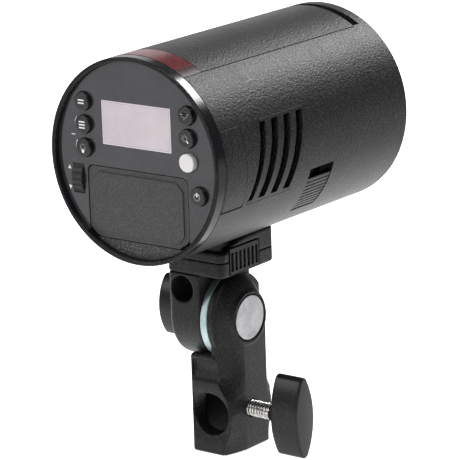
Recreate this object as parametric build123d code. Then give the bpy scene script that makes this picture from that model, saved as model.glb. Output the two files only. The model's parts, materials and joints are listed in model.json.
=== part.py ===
from build123d import *

import os
from math import cos, radians, sin, sqrt

# Compact battery studio strobe on a tilting stand bracket, in millimetres.
# Row frame: origin at the mouth of the vertical stand socket, +Z up, +Y towards the front glass,
# +X to the right of somebody standing behind the control panel.
# Head pieces are drawn in the head frame: the lamp axis is the Y axis and the panel face is Y = 0.

# ---------------------------------------------------------------- overall sizes
body_radius = 38.0          # outer radius of the cylindrical head
body_wall = 2.2             # wall of the main shell
shell_start = 2.6           # rear end of the main shell
shell_end = 115.0           # front end of the main shell
saddle_height = 29.7        # bottom of the head above the tilt axis
tilt_height = 50.5          # tilt axis above the mouth of the stand socket
panel_setback = 46.6        # panel face behind the tilt axis

# ---------------------------------------------------------------- clearances
seam = 0.12                 # visible seam between fixed neighbours
play = 0.30                 # gap round pieces that move
pin_fit = 0.05              # radial clearance of pins and axles

# ---------------------------------------------------------------- rear end
bezel_front = -2.1
bezel_lip = 1.9             # width of the bezel lip
bezel_ledge = 0.9           # ledge that carries the panel, inwards of the lip
panel_thickness = 1.4
board_inset = 6.3           # side of the control board, inwards of the shell's inner wall
tab_inset = 4.3
board_z = (0.6, 26.5)
tab_z = (-14.0, 1.0)        # tongue of the board that carries the power button's switch
window_x = (-15.3, 16.0)
window_z = (4.5, 20.8)
window_frame = 1.5          # overlap of the display module past its window
button_radius = 3.3
button_proud = 1.8
button_flange = 0.6
button_travel = 0.8
button_places = {
    "mode_button": (-23.1, 19.55),
    "menu_button": (-23.1, 11.05),
    "lamp_button": (-23.1, 2.5),
    "channel_button": (23.75, 19.2),
    "zoom_button": (23.75, 11.0),
    "test_button": (23.75, 2.4),
    "power_button": (28.0, -9.3),
}
board_gap = 4.1             # panel back to the control board
board_thickness = 1.5
switch_radius = 1.7
switch_gap = 0.15           # switch below the button at the end of its travel

dial_x = (-29.35, -24.75)
dial_z = -9.35
dial_depth = 7.0            # dial axle behind the panel face
dial_radius = 8.6
dial_axle_radius = 1.0
dial_ear = 1.0
dial_teeth = 24
dial_groove = 0.42

# ---------------------------------------------------------------- battery
battery_half_width = 22.5
battery_top = -3.9
battery_lift = 8.1          # battery's underside above the underside of the head
battery_length = 70.0
battery_corner = 2.5
battery_face_thickness = 1.6
battery_pad_raise = 0.5
battery_case_wall = 1.5
face_setback = 0.2          # battery's face behind the panel face
face_overlap = 0.6          # battery's face over its case
pad_margin = 2.0
pad_cut = 3.0               # cut corners of the raised pad
cell_radius = 9.2
cell_length = 65.0
cell_room = 67.0
cell_gap = 0.3
cell_z = -16.9
contact_x = (-9.0, -3.0, 3.0, 9.0)
contact_half_width = 1.3
contact_thickness = 0.4
contact_z = (-14.5, -8.0)
bay_wall = 1.2
battery_play = 0.35

# ---------------------------------------------------------------- sides of the head
cover_angle = 33.0          # half angle of the top cover
cover_start = 13.0
cover_depth = 1.3
slot_setback = 8.5          # rear edge of the top slot behind the shell's front end
slot_length = 3.8
slot_angle = 32.0
side_top = 14.2             # top and bottom of the side panels, from the lamp axis
side_bottom = -15.5
port_y = (3.2, 14.0, 15.4)  # rear edge, front edge at the top, front edge at the bottom
port_thickness = 1.4
port_pin_radius = 0.5
port_knuckle_radius = 1.1
port_pin_rise = 0.96        # hinge pin above the bottom edge of the side panels
socket_inset = 7.4          # back of the sockets, inwards of the shell's inner wall
socket_length = 4.2
port_block_z = (-11.2, 12.2)
usb_y = (7.7, 10.7)
usb_z = (-8.5, 0.1)
jack_radius = 1.75
jack_bore = 1.25
jack_z = 6.4
vent_top_y = (25.6, 52.2)
vent_bottom_y = (17.6, 43.6)
vent_slots = 4
vent_slot_pitch = 7.4
vent_slot_width = 4.0
vent_first_top = 28.9       # middle of the first slot at the top edge
vent_slot_lean = 8.4        # how far a slot runs backwards from top to bottom
vent_slot_margin = 1.2
vent_seam = 0.12
release_y = (54.3, 69.0)
release_angles = (105.5, 135.5)
release_start = 112.0       # upper end of the slider at rest
release_travel = 5.5
release_depth = 1.6
release_thickness = 1.15
release_ribs = 9
release_groove = 0.28
catch_half_width = 1.9
catch_play = 0.4

# ---------------------------------------------------------------- inside the head
fan_size = 48.0
fan_depth = 8.0
fan_hub_radius = 9.0
fan_blades = 7
fan_bore = 22.6
fan_corner = 3.0
fan_bridge = 1.2
fan_bridge_half_width = 1.6
fan_axle_radius = 1.5
blade_half_thickness = 0.5
blade_half_width = 4.2
blade_pitch = 58            # degrees
lamp_depth = 31.5           # bulkhead behind the shell's front end
bulkhead_thickness = 1.5
bulkhead_hole_ring = 25.0
bulkhead_hole_radius = 5.0
capacitor_radius = 13.5
capacitor_length = 52.0
capacitor_start = 16.0
capacitor_x = -3.0
capacitor_edge = 1.2
power_board_thickness = 1.6
power_board_half_width = 26.5
power_board_y = (18.0, 71.0)
board_part_sizes = (         # (x range), (y range), height of each part on the power board
    ((12.5, 24.5), (20.0, 34.0), 10.0),
    ((12.5, 22.5), (37.0, 47.0), 8.0),
    ((13.0, 25.0), (50.0, 56.0), 6.0),
    ((-24.5, -18.5), (22.0, 40.0), 3.0),
    ((-25.0, -19.0), (46.0, 52.0), 2.0),
)
led_ring_radius = 5.2
led_half_width = 1.3
throat_gap = 4.5            # reflector's throat in front of the bulkhead
reflector_throat = 9.0
mouth_inset = 1.4           # reflector's mouth, inwards of the glass
reflector_setback = 5.2     # reflector's mouth behind the shell's front end
reflector_wall = 1.0
tube_ring_radius = 13.0
tube_radius = 2.4
tube_leg_radius = 1.6
tube_leg_x = 4.2
tube_lead = 11.0            # flash tube in front of the reflector's throat
glass_thickness = 3.0
glass_inset = 3.6           # glass, inwards of the shell's outside
glass_setback = 0.5         # glass behind the ring's front
ring_proud = 0.6
ring_lip = 1.0

# ---------------------------------------------------------------- quick-release shoe
shoe_half_width = 13.0
shoe_length = 32.6
shoe_bottom = 18.1          # underside of the shoe above the tilt axis
shoe_lower_thickness = 5.9
foot_half_width = 7.0
foot_half_length = 11.0
foot_height = 2.6
release_button_y = (-11.2, 6.0)
release_button_height = 9.6
release_button_depth = 3.6
release_button_travel = 1.5
release_button_floor = 0.9
release_button_ribs = 7
saddle_screw_spread = 10.0
saddle_screw_reach = 4.0
screw_shank = 1.4
screw_head = 2.6

# ---------------------------------------------------------------- tilt joint
block_x = (-12.4, 1.9)
block_radius = 16.4
disc_thickness = 3.0
disc_gap = 0.05
arm_face = 12.5
arm_top = 16.8              # top of the arm above the tilt axis
arm_setback = 0.8           # rear of the arm in front of the rear of the lower block
arm_edge = 5.6
inner_boss_radius = 16.0
inner_boss_height = 2.2
umbrella_x = -5.9
umbrella_z = 12.25
umbrella_radius = 5.0
bolt_radius = 3.0
bolt_head_radius = 5.5
cap_radius = 8.45
cap_groove = 0.45
cap_dome = 0.35
cap_recess = 0.9

# ---------------------------------------------------------------- lower block
socket_radius = 8.1
socket_depth = 29.0
socket_axis_z = -35.2
socket_wall = 3.6
cross_socket_x = 3.8
cross_socket_end = -4.0
block_left = -4.9
block_rear = -14.8
block_front = 12.0
block_top = -12.4
relief = 17.3               # clearance radius round the tilt block
upper_scoop = (-13.6, -22.6)
lower_scoop = (-26.0, -45.4)
scoop_depth = 1.1

# ---------------------------------------------------------------- knobs
screw_radius = 3.0
screw_wall_tip = 8.6
hub_start = 22.1
hub_radii = (3.4, 4.5)      # radius of the hub at its tip and at the paddle
stand_knob_x = (24.7, 37.0)
stand_knob_half_height = 15.65
tilt_knob_x = (-15.4, -26.4)
tilt_knob_half_height = 11.9
knob_half_width = 5.65
knob_end_half_width = 1.3
knob_edge = 0.6
pad_radius = 2.5
pad_length = 1.2

inner_radius = body_radius - body_wall
axis_height = saddle_height + body_radius
lip_radius = body_radius - bezel_lip
panel_radius = lip_radius - seam
socket_back = inner_radius - socket_inset
ledge_radius = lip_radius - bezel_ledge
board_y = panel_thickness + board_gap
battery_bottom = battery_lift - body_radius
slot_y = (shell_end - slot_setback, shell_end - slot_setback + slot_length)
front_face = shell_end + ring_proud
glass_radius = body_radius - glass_inset
bulkhead_y = shell_end - lamp_depth
fan_y = bulkhead_y - fan_depth
reflector_rear = bulkhead_y + throat_gap
reflector_front = shell_end - reflector_setback
reflector_mouth = glass_radius - mouth_inset
tube_y = reflector_rear + tube_lead
bay_roof = battery_top + battery_play + bay_wall
power_board_z = bay_roof
head_place = Location((0, -panel_setback, tilt_height + axis_height))
tilt_place = Location((0, 0, tilt_height))
head_to_tilt = Location((0, -panel_setback, axis_height))


def box(x, y, z):
    """A box from three pairs of limits."""
    size = (x[1] - x[0], y[1] - y[0], z[1] - z[0])
    middle = ((x[0] + x[1]) / 2, (y[0] + y[1]) / 2, (z[0] + z[1]) / 2)
    return Pos(*middle) * Box(*size)


def cylinder_y(radius, y0, y1, x=0.0, z=0.0):
    """A cylinder along Y from y0 to y1."""
    base = Cylinder(radius, y1 - y0, align=(Align.CENTER, Align.CENTER, Align.MIN))
    return Pos(x, y0, z) * Rot(-90, 0, 0) * base


def cylinder_x(radius, x0, x1, y=0.0, z=0.0):
    """A cylinder along X from x0 to x1."""
    base = Cylinder(radius, x1 - x0, align=(Align.CENTER, Align.CENTER, Align.MIN))
    return Pos(x0, y, z) * Rot(0, 90, 0) * base


def cylinder_z(radius, z0, z1, x=0.0, y=0.0):
    """A cylinder along Z from z0 to z1."""
    base = Cylinder(radius, z1 - z0, align=(Align.CENTER, Align.CENTER, Align.MIN))
    return Pos(x, y, z0) * base


def tube_y_shape(outer, inner, y0, y1):
    """A tube along the lamp axis."""
    return cylinder_y(outer, y0, y1) - cylinder_y(inner, y0 - 1, y1 + 1)


def prism_y(points, y0, y1):
    """An (x, z) outline pushed along Y."""
    face = make_face(Polyline([(x, y0, z) for x, z in points], close=True))
    return extrude(face, amount=y1 - y0, dir=(0, 1, 0))


def prism_x(points, x0, x1):
    """A (y, z) outline pushed along X."""
    face = make_face(Polyline([(x0, y, z) for y, z in points], close=True))
    return extrude(face, amount=x1 - x0, dir=(1, 0, 0))


def rim_point(radius, angle):
    """The (x, z) point at an angle measured from the top towards +X."""
    return radius * sin(radians(angle)), radius * cos(radians(angle))


def wedge(angle0, angle1, y0, y1):
    """A wedge of the cylinder between two angles from the top."""
    steps = max(2, int(abs(angle1 - angle0) / 20) + 1)
    reach = body_radius * 1.6
    points = [(0.0, 0.0)]
    for step in range(steps + 1):
        points.append(rim_point(reach, angle0 + (angle1 - angle0) * step / steps))
    return prism_y(points, y0, y1)


def sector(outer, inner, angle0, angle1, y0, y1):
    """A piece of tube between two radii, two angles and two ends."""
    return tube_y_shape(outer, inner, y0, y1) & wedge(angle0, angle1, y0 - 1, y1 + 1)


def rounded_prism_y(x, z, corner, y0, y1):
    """A block along Y with rounded long edges."""
    block = box(x, (y0, y1), z)
    return fillet(block.edges().filter_by(Axis.Y), corner)


def save(name, shape, place=Location()):
    """Write one node at its place in the row frame."""
    solids = shape.moved(place).solids()
    export_step(solids[0] if len(solids) == 1 else Compound(children=solids), f"parts/{name}.step")


# ---------------------------------------------------------------- side panels
def port_outline(gap):
    """Outline of the port cover in (y, z), shrunk by a gap."""
    top = side_top - gap
    bottom = side_bottom + gap
    return [(port_y[0] + gap, top), (port_y[1] - gap, top), (port_y[2] - gap, bottom),
            (port_y[0] + gap, bottom)]


def vent_outline(gap):
    """Outline of a side vent in (y, z), shrunk by a gap."""
    return [(vent_top_y[0] + gap, side_top - gap), (vent_top_y[1] - gap, side_top - gap),
            (vent_bottom_y[1] - gap, side_bottom + gap), (vent_bottom_y[0] + gap, side_bottom + gap)]


def vent_slot(index):
    """One slanted slot of a side vent in (y, z)."""
    middle = vent_first_top + index * vent_slot_pitch - vent_slot_width / 2
    top = side_top - vent_slot_margin
    bottom = side_bottom + vent_slot_margin
    half = vent_slot_width / 2
    foot = middle - vent_slot_lean
    return [(middle - half, top), (middle + half, top), (foot + half, bottom), (foot - half, bottom)]


port_pin_z = side_bottom + port_pin_rise
port_pin_place = (sqrt((body_radius - port_knuckle_radius) ** 2 - port_pin_z**2), port_pin_z)


def main_shell():
    shape = tube_y_shape(body_radius, inner_radius, shell_start, shell_end)
    window = wedge(-cover_angle, cover_angle, shell_start - 1, cover_start)
    shape -= window
    recess = sector(body_radius + 1, body_radius - cover_depth, -cover_angle, cover_angle,
                    cover_start - 0.01, slot_y[0])
    shape -= recess
    shape -= wedge(-slot_angle, slot_angle, slot_y[0], slot_y[1])
    shape -= prism_x(port_outline(0), 0, body_radius + 2)
    for side in (-1, 1):
        shape -= prism_x(vent_outline(0), 0, side * (body_radius + 2))
    shape -= sector(body_radius + 1, body_radius - release_depth, *release_angles, *release_y)
    slot_middle = (release_y[0] + release_y[1]) / 2
    shape -= wedge(release_start - release_travel, release_angles[1] - 2.5,
                   slot_middle - catch_half_width - catch_play, slot_middle + catch_half_width + catch_play)
    shape -= cylinder_y(port_knuckle_radius + play, port_y[0] - play, port_y[2] + 0.1, *port_pin_place)
    shape -= port_hinge_pin()
    for screw in saddle_screws():
        shape -= screw
    return shape


def top_cover():
    return sector(body_radius, body_radius - cover_depth, -cover_angle + 0.4, cover_angle - 0.4,
                  cover_start + seam, slot_y[0])


def sensor_window():
    return sector(body_radius, inner_radius + 0.2, -cover_angle + 0.3, cover_angle - 0.3,
                  shell_start, cover_start - seam)


def rear_bezel():
    """Ring round the panel with a lip and a ledge behind the panel."""
    lip = tube_y_shape(body_radius - 0.1, lip_radius, bezel_front, shell_start)
    lip = fillet(lip.edges().filter_by(GeomType.CIRCLE).group_by(Axis.Y)[0], 0.5)
    ledge = tube_y_shape(lip_radius + 0.2, ledge_radius, panel_thickness, shell_start)
    return lip + ledge


def battery_outline(grow):
    """The battery's cross-section: a rounded block clipped by the round body."""
    clip = ledge_radius - battery_play + min(grow, 0.0)
    x = battery_half_width + grow
    return x, battery_bottom - grow, battery_top + grow, clip


def battery_prism(grow, y0, y1):
    """The battery's cross-section pushed along Y."""
    x, bottom, top, clip = battery_outline(grow)
    block = rounded_prism_y((-x, x), (bottom, top), battery_corner + grow, y0, y1)
    return block & cylinder_y(clip, y0 - 1, y1 + 1)


def control_panel():
    shape = cylinder_y(panel_radius, 0, panel_thickness)
    shape -= box(window_x, (-1, 3), window_z)
    for x, z in button_places.values():
        shape -= cylinder_y(button_radius + play, -1, 3, x, z)
    shape -= cylinder_x(dial_radius + play, dial_x[0] - play, dial_x[1] + play, dial_depth, dial_z)
    x = battery_half_width + battery_play
    shape -= rounded_prism_y((-x, x), (-2 * body_radius, battery_top + battery_play), battery_corner, -1, 3)
    return shape


def lower_trim():
    """Coarse strip below the battery face."""
    top = battery_bottom - battery_play
    shape = cylinder_y(panel_radius, 0.3, panel_thickness)
    x = battery_half_width + battery_play - seam
    return shape & box((-x, x), (-1, 3), (-body_radius, top))


def display_window():
    x = (window_x[0] + seam, window_x[1] - seam)
    z = (window_z[0] + seam, window_z[1] - seam)
    return box(x, (0.1, panel_thickness), z)


def display_module():
    x = (window_x[0] - window_frame, window_x[1] + window_frame)
    z = (window_z[0] - window_frame, window_z[1] + window_frame)
    return box(x, (panel_thickness, board_y), z)


def push_button(x, z):
    """Button cap with a flange that keeps it behind the panel."""
    back = board_y - button_travel - switch_gap - 1.0
    cap = cylinder_y(button_radius, -button_proud, back, x, z)
    cap = fillet(cap.edges().group_by(Axis.Y)[0], 0.45)
    flange = cylinder_y(button_radius + button_flange, panel_thickness + 0.05, panel_thickness + 0.85, x, z)
    return cap + flange


def tact_switches():
    shapes = []
    for x, z in button_places.values():
        shapes.append(cylinder_y(switch_radius, board_y - 1.0, board_y, x, z))
    return Compound(children=shapes)


def control_board():
    main = box((board_inset - inner_radius, inner_radius - board_inset),
               (board_y, board_y + board_thickness), board_z)
    tab = box((battery_half_width + 2.3, inner_radius - tab_inset),
              (board_y, board_y + board_thickness), tab_z)
    clip = cylinder_y(inner_radius - 1.2, board_y - 1, board_y + board_thickness + 1)
    return (main + tab) & clip


def control_dial():
    wheel = cylinder_x(dial_radius, *dial_x, dial_depth, dial_z)
    for index in range(dial_teeth):
        angle = radians(index * 360 / dial_teeth)
        y = dial_depth + dial_radius * cos(angle)
        z = dial_z + dial_radius * sin(angle)
        wheel -= cylinder_x(dial_groove, dial_x[0] - 1, dial_x[1] + 1, y, z)
    return wheel - cylinder_x(dial_axle_radius + pin_fit, dial_x[0] - 1, dial_x[1] + 1, dial_depth, dial_z)


def dial_axle():
    inner = -battery_half_width - battery_play - 0.3
    return cylinder_x(dial_axle_radius, dial_x[0] - play - dial_ear, inner, dial_depth, dial_z)


def dial_bracket():
    """Outer ear of the dial's axle on a web that stands on the battery bay."""
    outer = dial_x[0] - play
    inner = -battery_half_width - battery_play - bay_wall
    y = (dial_depth - 2.2, dial_depth + dial_radius + 2.2)
    z = (dial_z - 2.4, dial_z + 2.4)
    shape = box((outer - dial_ear, outer), y, z)
    shape += box((outer - dial_ear, inner), (y[1] - 1.4, y[1]), z)
    return shape - dial_axle()


# ---------------------------------------------------------------- battery and bay
def battery_case():
    y0 = battery_face_thickness + face_overlap
    shape = battery_prism(-0.4, y0, battery_length)
    side = 2 * cell_radius + cell_gap
    half = cell_radius + cell_gap
    inside = box((-side, side), (y0 + battery_case_wall, y0 + cell_room), (cell_z - half, cell_z + half))
    return shape - inside


def battery_cells():
    y0 = battery_face_thickness + face_overlap + battery_case_wall + cell_gap
    cells = [cylinder_y(cell_radius, y0, y0 + cell_length, side * cell_radius * 1.005, cell_z)
             for side in (-1, 1)]
    return Compound(children=cells)


def battery_face():
    """Rear face of the battery: a rim and a raised pad with cut corners."""
    shape = battery_prism(0, face_setback, battery_face_thickness + face_overlap)
    x = battery_half_width - pad_margin
    cut = pad_cut
    bottom = battery_bottom + 2.2
    top = battery_top - pad_margin
    side = -battery_bottom - 4.7
    points = [(-x + cut, top), (x - cut, top), (x, top - cut), (x, -side), (x - 2.5, bottom),
              (-x + 2.5, bottom), (-x, -side), (-x, top - cut)]
    pad = prism_y(points, face_setback - battery_pad_raise, 0.3)
    return shape + pad


def battery_contacts():
    y = (battery_length, battery_length + contact_thickness)
    strips = [box((x - contact_half_width, x + contact_half_width), y, contact_z) for x in contact_x]
    return Compound(children=strips)


def battery_bay():
    """Roof, sides and end wall of the battery's bay; the main shell is its floor."""
    x = battery_half_width + battery_play
    roof_z = battery_top + battery_play
    length = battery_length + 2.4
    shape = box((-x - bay_wall, x + bay_wall), (shell_start, length), (-body_radius, bay_roof))
    shape -= box((-x, x), (shell_start - 1, length - bay_wall), (-60, roof_z))
    shape -= dial_axle()
    return shape & cylinder_y(inner_radius, 0, length + 1)


# ---------------------------------------------------------------- side pieces
def port_cover():
    """Flap over the sockets with the knuckle of its hinge."""
    skin = tube_y_shape(body_radius, body_radius - port_thickness, port_y[0], port_y[2])
    flap = skin & prism_x(port_outline(seam + 0.1), 0, body_radius + 2)
    above = box((0, body_radius + 2), (0, 40), (port_pin_place[1], side_top + 2))
    flap = flap & above
    flap += cylinder_y(port_knuckle_radius, port_y[0] + 0.1, port_y[2] - 0.2, *port_pin_place)
    return flap - cylinder_y(port_pin_radius + pin_fit, 0, 30, *port_pin_place)


def port_hinge_pin():
    return cylinder_y(port_pin_radius, shell_start, port_y[2] + 1.4, *port_pin_place)


def port_block():
    """Carrier of the charging socket and the sync jack behind the flap."""
    shape = box((socket_back - 0.8, body_radius),
                (board_y + board_thickness + 0.3, port_y[1] + 1.0), port_block_z)
    shape = shape & cylinder_y(inner_radius, 0, 30)
    shape -= box((socket_back, body_radius),
                 (usb_y[0] - seam, usb_y[1] + seam), (usb_z[0] - seam, usb_z[1] + seam))
    return shape - cylinder_x(jack_radius + pin_fit, socket_back, body_radius, sum(usb_y) / 2, jack_z)


def usb_port():
    front = socket_back + socket_length
    wall = 0.3
    shell = box((socket_back, front), usb_y, usb_z)
    shell -= box((socket_back + wall, front + 1),
                 (usb_y[0] + wall, usb_y[1] - wall), (usb_z[0] + wall, usb_z[1] - wall))
    middle = sum(usb_y) / 2
    tongue = box((socket_back, front - 0.6), (middle - 0.2, middle + 0.2), (usb_z[0] + 1.5, usb_z[1] - 1.5))
    return shell + tongue


def sync_jack():
    front = socket_back + socket_length
    y = sum(usb_y) / 2
    body = cylinder_x(jack_radius, socket_back, front, y, jack_z)
    return body - cylinder_x(jack_bore, socket_back + 0.6, 40, y, jack_z)


def vent_grille(side):
    skin = tube_y_shape(body_radius, inner_radius, vent_bottom_y[0], vent_top_y[1])
    shape = skin & prism_x(vent_outline(vent_seam), 0, side * (body_radius + 2))
    for index in range(vent_slots):
        shape -= prism_x(vent_slot(index), 0, side * (body_radius + 2))
    return shape


def battery_release():
    """Ribbed slider with its catch, which reaches through the shell."""
    floor = body_radius - release_depth + play
    middle = (release_y[0] + release_y[1]) / 2
    last = release_angles[1] - 1.0
    y = (release_y[0] + play, release_y[1] - play)
    shape = sector(floor + release_thickness, floor, release_start, last, *y)
    pitch = (last - release_start) / release_ribs
    for index in range(release_ribs - 1):
        angle = release_start + pitch * (index + 1)
        rib_root = rim_point(floor + release_thickness, angle)
        shape -= cylinder_y(release_groove, y[0] - 1, y[1] + 1, *rib_root)
    catch = sector(floor + 0.2, inner_radius - 1.4, release_start + 2, release_start + 15,
                   middle - catch_half_width, middle + catch_half_width)
    return shape + catch


def release_spring():
    """Coil behind the slider, drawn as its envelope."""
    middle = (release_y[0] + release_y[1]) / 2
    x, z = rim_point(inner_radius - 1.3, release_start - 4.8)
    return Pos(x, middle, z) * Rot(0, release_start - 4.8, 0) * Cylinder(0.8, 1.4, rotation=(0, 90, 0))


# ---------------------------------------------------------------- inside the head
def power_board():
    x = (-power_board_half_width, power_board_half_width)
    shape = box(x, power_board_y, (power_board_z, power_board_z + power_board_thickness))
    return shape & cylinder_y(inner_radius - 1, 0, 80)


def board_parts():
    z = power_board_z + power_board_thickness
    parts = [box(x, y, (z, z + height)) for x, y, height in board_part_sizes]
    return Compound(children=parts)


def main_capacitor():
    z = power_board_z + power_board_thickness + capacitor_radius
    shape = cylinder_y(capacitor_radius, capacitor_start, capacitor_start + capacitor_length, capacitor_x, z)
    return fillet(shape.edges().filter_by(GeomType.CIRCLE), capacitor_edge)


def fan_frame():
    half = fan_size / 2
    shape = box((-half, half), (fan_y, fan_y + fan_depth), (-half, half))
    shape = fillet(shape.edges().filter_by(Axis.Y), fan_corner)
    shape -= cylinder_y(fan_bore, fan_y - 1, fan_y + fan_depth + 1)
    y = (fan_y + fan_depth - fan_bridge, fan_y + fan_depth)
    bridge = box((-half + 1, half - 1), y, (-fan_bridge_half_width, fan_bridge_half_width))
    bridge += cylinder_y(fan_hub_radius, *y)
    shape += bridge
    return shape + cylinder_y(fan_axle_radius, fan_y + 1.6, fan_y + fan_depth - 0.5)


def fan_rotor():
    y1 = fan_y + fan_depth - 1.6
    hub = cylinder_y(fan_hub_radius, fan_y + 0.4, y1)
    for index in range(fan_blades):
        blade = box((fan_hub_radius - 1.5, fan_bore - 0.8), (-blade_half_thickness, blade_half_thickness),
                    (-blade_half_width, blade_half_width))
        turned = Rot(0, index * 360 / fan_blades, 0) * Rot(blade_pitch, 0, 0) * blade
        blade = Pos(0, (fan_y + y1 + 0.4) / 2, 0) * turned
        hub += blade
    hub = hub & tube_y_shape(fan_bore - 0.7, 0.01, fan_y + 0.3, y1)
    return hub - cylinder_y(fan_axle_radius + pin_fit, fan_y + 1.55, fan_y + fan_depth)


def bulkhead():
    shape = cylinder_y(inner_radius, bulkhead_y, bulkhead_y + bulkhead_thickness)
    for angle in range(0, 360, 45):
        x, z = rim_point(bulkhead_hole_ring, angle)
        shape -= cylinder_y(bulkhead_hole_radius, bulkhead_y - 1, bulkhead_y + 4, x, z)
    return shape


def reflector():
    """Bowl behind the tube, from its throat to its mouth."""
    profile = [(reflector_throat, reflector_rear), (reflector_throat + 12, reflector_rear + 4),
               (reflector_mouth - 3, reflector_rear + 13), (reflector_mouth, reflector_front)]
    outer = [(x + reflector_wall, y) for x, y in reversed(profile)]
    points = [(x, y, 0) for x, y in profile + outer]
    face = make_face(Polyline(points, close=True))
    return revolve(face, Axis.Y) - tube_legs(tube_leg_radius + pin_fit)


def tube_legs(radius):
    """The two legs that carry the flash tube from the bulkhead."""
    z = -sqrt(tube_ring_radius**2 - tube_leg_x**2)
    legs = [cylinder_y(radius, bulkhead_y + bulkhead_thickness, tube_y, side * tube_leg_x, z)
            for side in (-1, 1)]
    return legs[0] + legs[1]


def flash_tube():
    """Ring of the flash tube with its two legs."""
    ring = Pos(0, tube_y, 0) * Rot(90, 0, 0) * Torus(tube_ring_radius, tube_radius)
    ring -= box((-2.2, 2.2), (tube_y - 5, tube_y + 5), (-tube_ring_radius - 5, 0))
    return ring + tube_legs(tube_leg_radius)


def modelling_leds():
    """Lamp holder with a small board of modelling lights in the throat."""
    shape = cylinder_y(reflector_throat - 0.3, bulkhead_y + bulkhead_thickness, reflector_rear + 1.5)
    for angle in range(0, 360, 60):
        x, z = rim_point(led_ring_radius, angle)
        shape += box((x - led_half_width, x + led_half_width), (reflector_rear + 1.0, reflector_rear + 2.3),
                     (z - led_half_width, z + led_half_width))
    return shape


def front_glass():
    y1 = front_face - glass_setback
    disc = cylinder_y(glass_radius, y1 - glass_thickness, y1)
    return fillet(disc.edges().group_by(Axis.Y)[-1], 1.0)


def front_ring():
    inner = glass_radius + 0.1
    shape = tube_y_shape(inner_radius, inner, reflector_front, front_face)
    shape += tube_y_shape(body_radius - 0.4, inner, shell_end, front_face)
    return shape + tube_y_shape(inner + 0.5, glass_radius - ring_lip, reflector_front,
                                front_face - glass_setback - glass_thickness)


# ---------------------------------------------------------------- shoe, in the tilt frame
shoe_y = (-shoe_length / 2, shoe_length / 2)
shoe_split = shoe_bottom + shoe_lower_thickness
shoe_edge = 1.6


def shoe_block(z0, z1):
    """A slice of the shoe with its rounded upright corners."""
    block = box((-shoe_half_width, shoe_half_width), shoe_y, (z0, z1))
    return fillet(block.edges().filter_by(Axis.Z), shoe_edge)


def button_pocket(gap):
    """Room for the release button in the right side of the shoe."""
    x = (shoe_half_width - release_button_depth - gap, shoe_half_width + 5)
    y = (release_button_y[0] - gap, release_button_y[1] + gap)
    bottom = shoe_bottom + release_button_floor
    z = (bottom - gap, bottom + release_button_height + gap)
    return box(x, y, z)


def foot(gap):
    """Foot of the upper shoe, which drops into the lower shoe."""
    x = foot_half_width + gap
    y = foot_half_length + gap
    return box((-x, x), (-y, y), (shoe_split - foot_height - gap, shoe_split + 0.2))


def shoe_upper():
    """Saddle under the shell with the foot of the quick release."""
    shape = shoe_block(shoe_split + 0.15, axis_height - 30)
    shape -= cylinder_y(body_radius + 0.02, -60, 60, 0, axis_height)
    shape -= button_pocket(play)
    shape += foot(0)
    for screw in saddle_screws():
        shape -= screw.moved(head_to_tilt)
    return shape


def saddle_screws():
    """Two screws from inside the shell into the saddle, in the head frame."""
    shapes = []
    for side in (-1, 1):
        y = panel_setback + side * saddle_screw_spread
        shank = cylinder_z(screw_shank, -body_radius - saddle_screw_reach, -inner_radius + 0.4, 0, y)
        head = cylinder_z(screw_head, -inner_radius + 0.15, -inner_radius + 1.2, 0, y)
        shapes.append(shank + head)
    return shapes


def shoe_lower():
    shape = shoe_block(shoe_bottom, shoe_split)
    shape -= foot(play)
    return shape - button_pocket(play)


def release_button():
    """Ribbed side button of the quick release."""
    x = (shoe_half_width - release_button_depth + release_button_travel, shoe_half_width + 0.1)
    bottom = shoe_bottom + release_button_floor
    z = (bottom, bottom + release_button_height)
    shape = box(x, release_button_y, z)
    pitch = (release_button_y[1] - release_button_y[0]) / release_button_ribs
    for index in range(release_button_ribs):
        y = release_button_y[0] + pitch * (index + 0.5)
        groove = box((x[1] - 0.8, x[1] + 1), (y - 0.75, y + 0.75), (z[0] + 1.0, z[1] - 1.6))
        shape -= groove
    return shape


# ---------------------------------------------------------------- tilt joint, in the tilt frame
def tilt_block():
    """Round-bottomed block with the umbrella bore."""
    x = block_x
    shape = cylinder_x(block_radius, *x)
    shape += box(x, (-block_radius, block_radius), (0, shoe_bottom))
    shape -= cylinder_y(umbrella_radius, -30, 30, umbrella_x, umbrella_z)
    return shape - cylinder_x(bolt_radius + pin_fit, x[0] - 1, x[1] + 1)


def tilt_disc():
    """Zinc friction disc between the block and the arm."""
    x = (block_x[1], block_x[1] + disc_thickness - disc_gap)
    shape = cylinder_x(block_radius, *x)
    shape = chamfer(shape.edges().filter_by(GeomType.CIRCLE), 0.3)
    return shape - cylinder_x(bolt_radius + pin_fit, x[0] - 1, x[1] + 1)


arm_inner = block_x[1] + disc_thickness


def paddle(x0, x1, half_height):
    """Lens-shaped paddle knob along X, centred on its axis."""
    top = half_height
    points = [(knob_half_width, 0), (knob_end_half_width, top), (-knob_end_half_width, top),
              (-knob_half_width, 0), (-knob_end_half_width, -top), (knob_end_half_width, -top)]
    at = [(x0, y, z) for y, z in points]
    outline = [
        ThreePointArc((x0, knob_end_half_width, -top), at[0], at[1]),
        Line(at[1], at[2]),
        ThreePointArc(at[2], at[3], at[4]),
        Line(at[4], at[5]),
    ]
    shape = extrude(make_face(outline), amount=x1 - x0, dir=(1, 0, 0))
    ends = shape.faces().sort_by(Axis.X)
    shape = fillet(ends[0].edges() + ends[-1].edges(), knob_edge)
    return shape


def tilt_knob():
    inner = tilt_knob_x[0]
    shape = paddle(tilt_knob_x[1], inner, tilt_knob_half_height)
    shape += Pos(inner + 1.2, 0, 0) * Rot(0, 90, 0) * Cone(6.0, 4.6, 2.6)
    return shape - cylinder_x(bolt_radius, inner - 7, 0)


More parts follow.
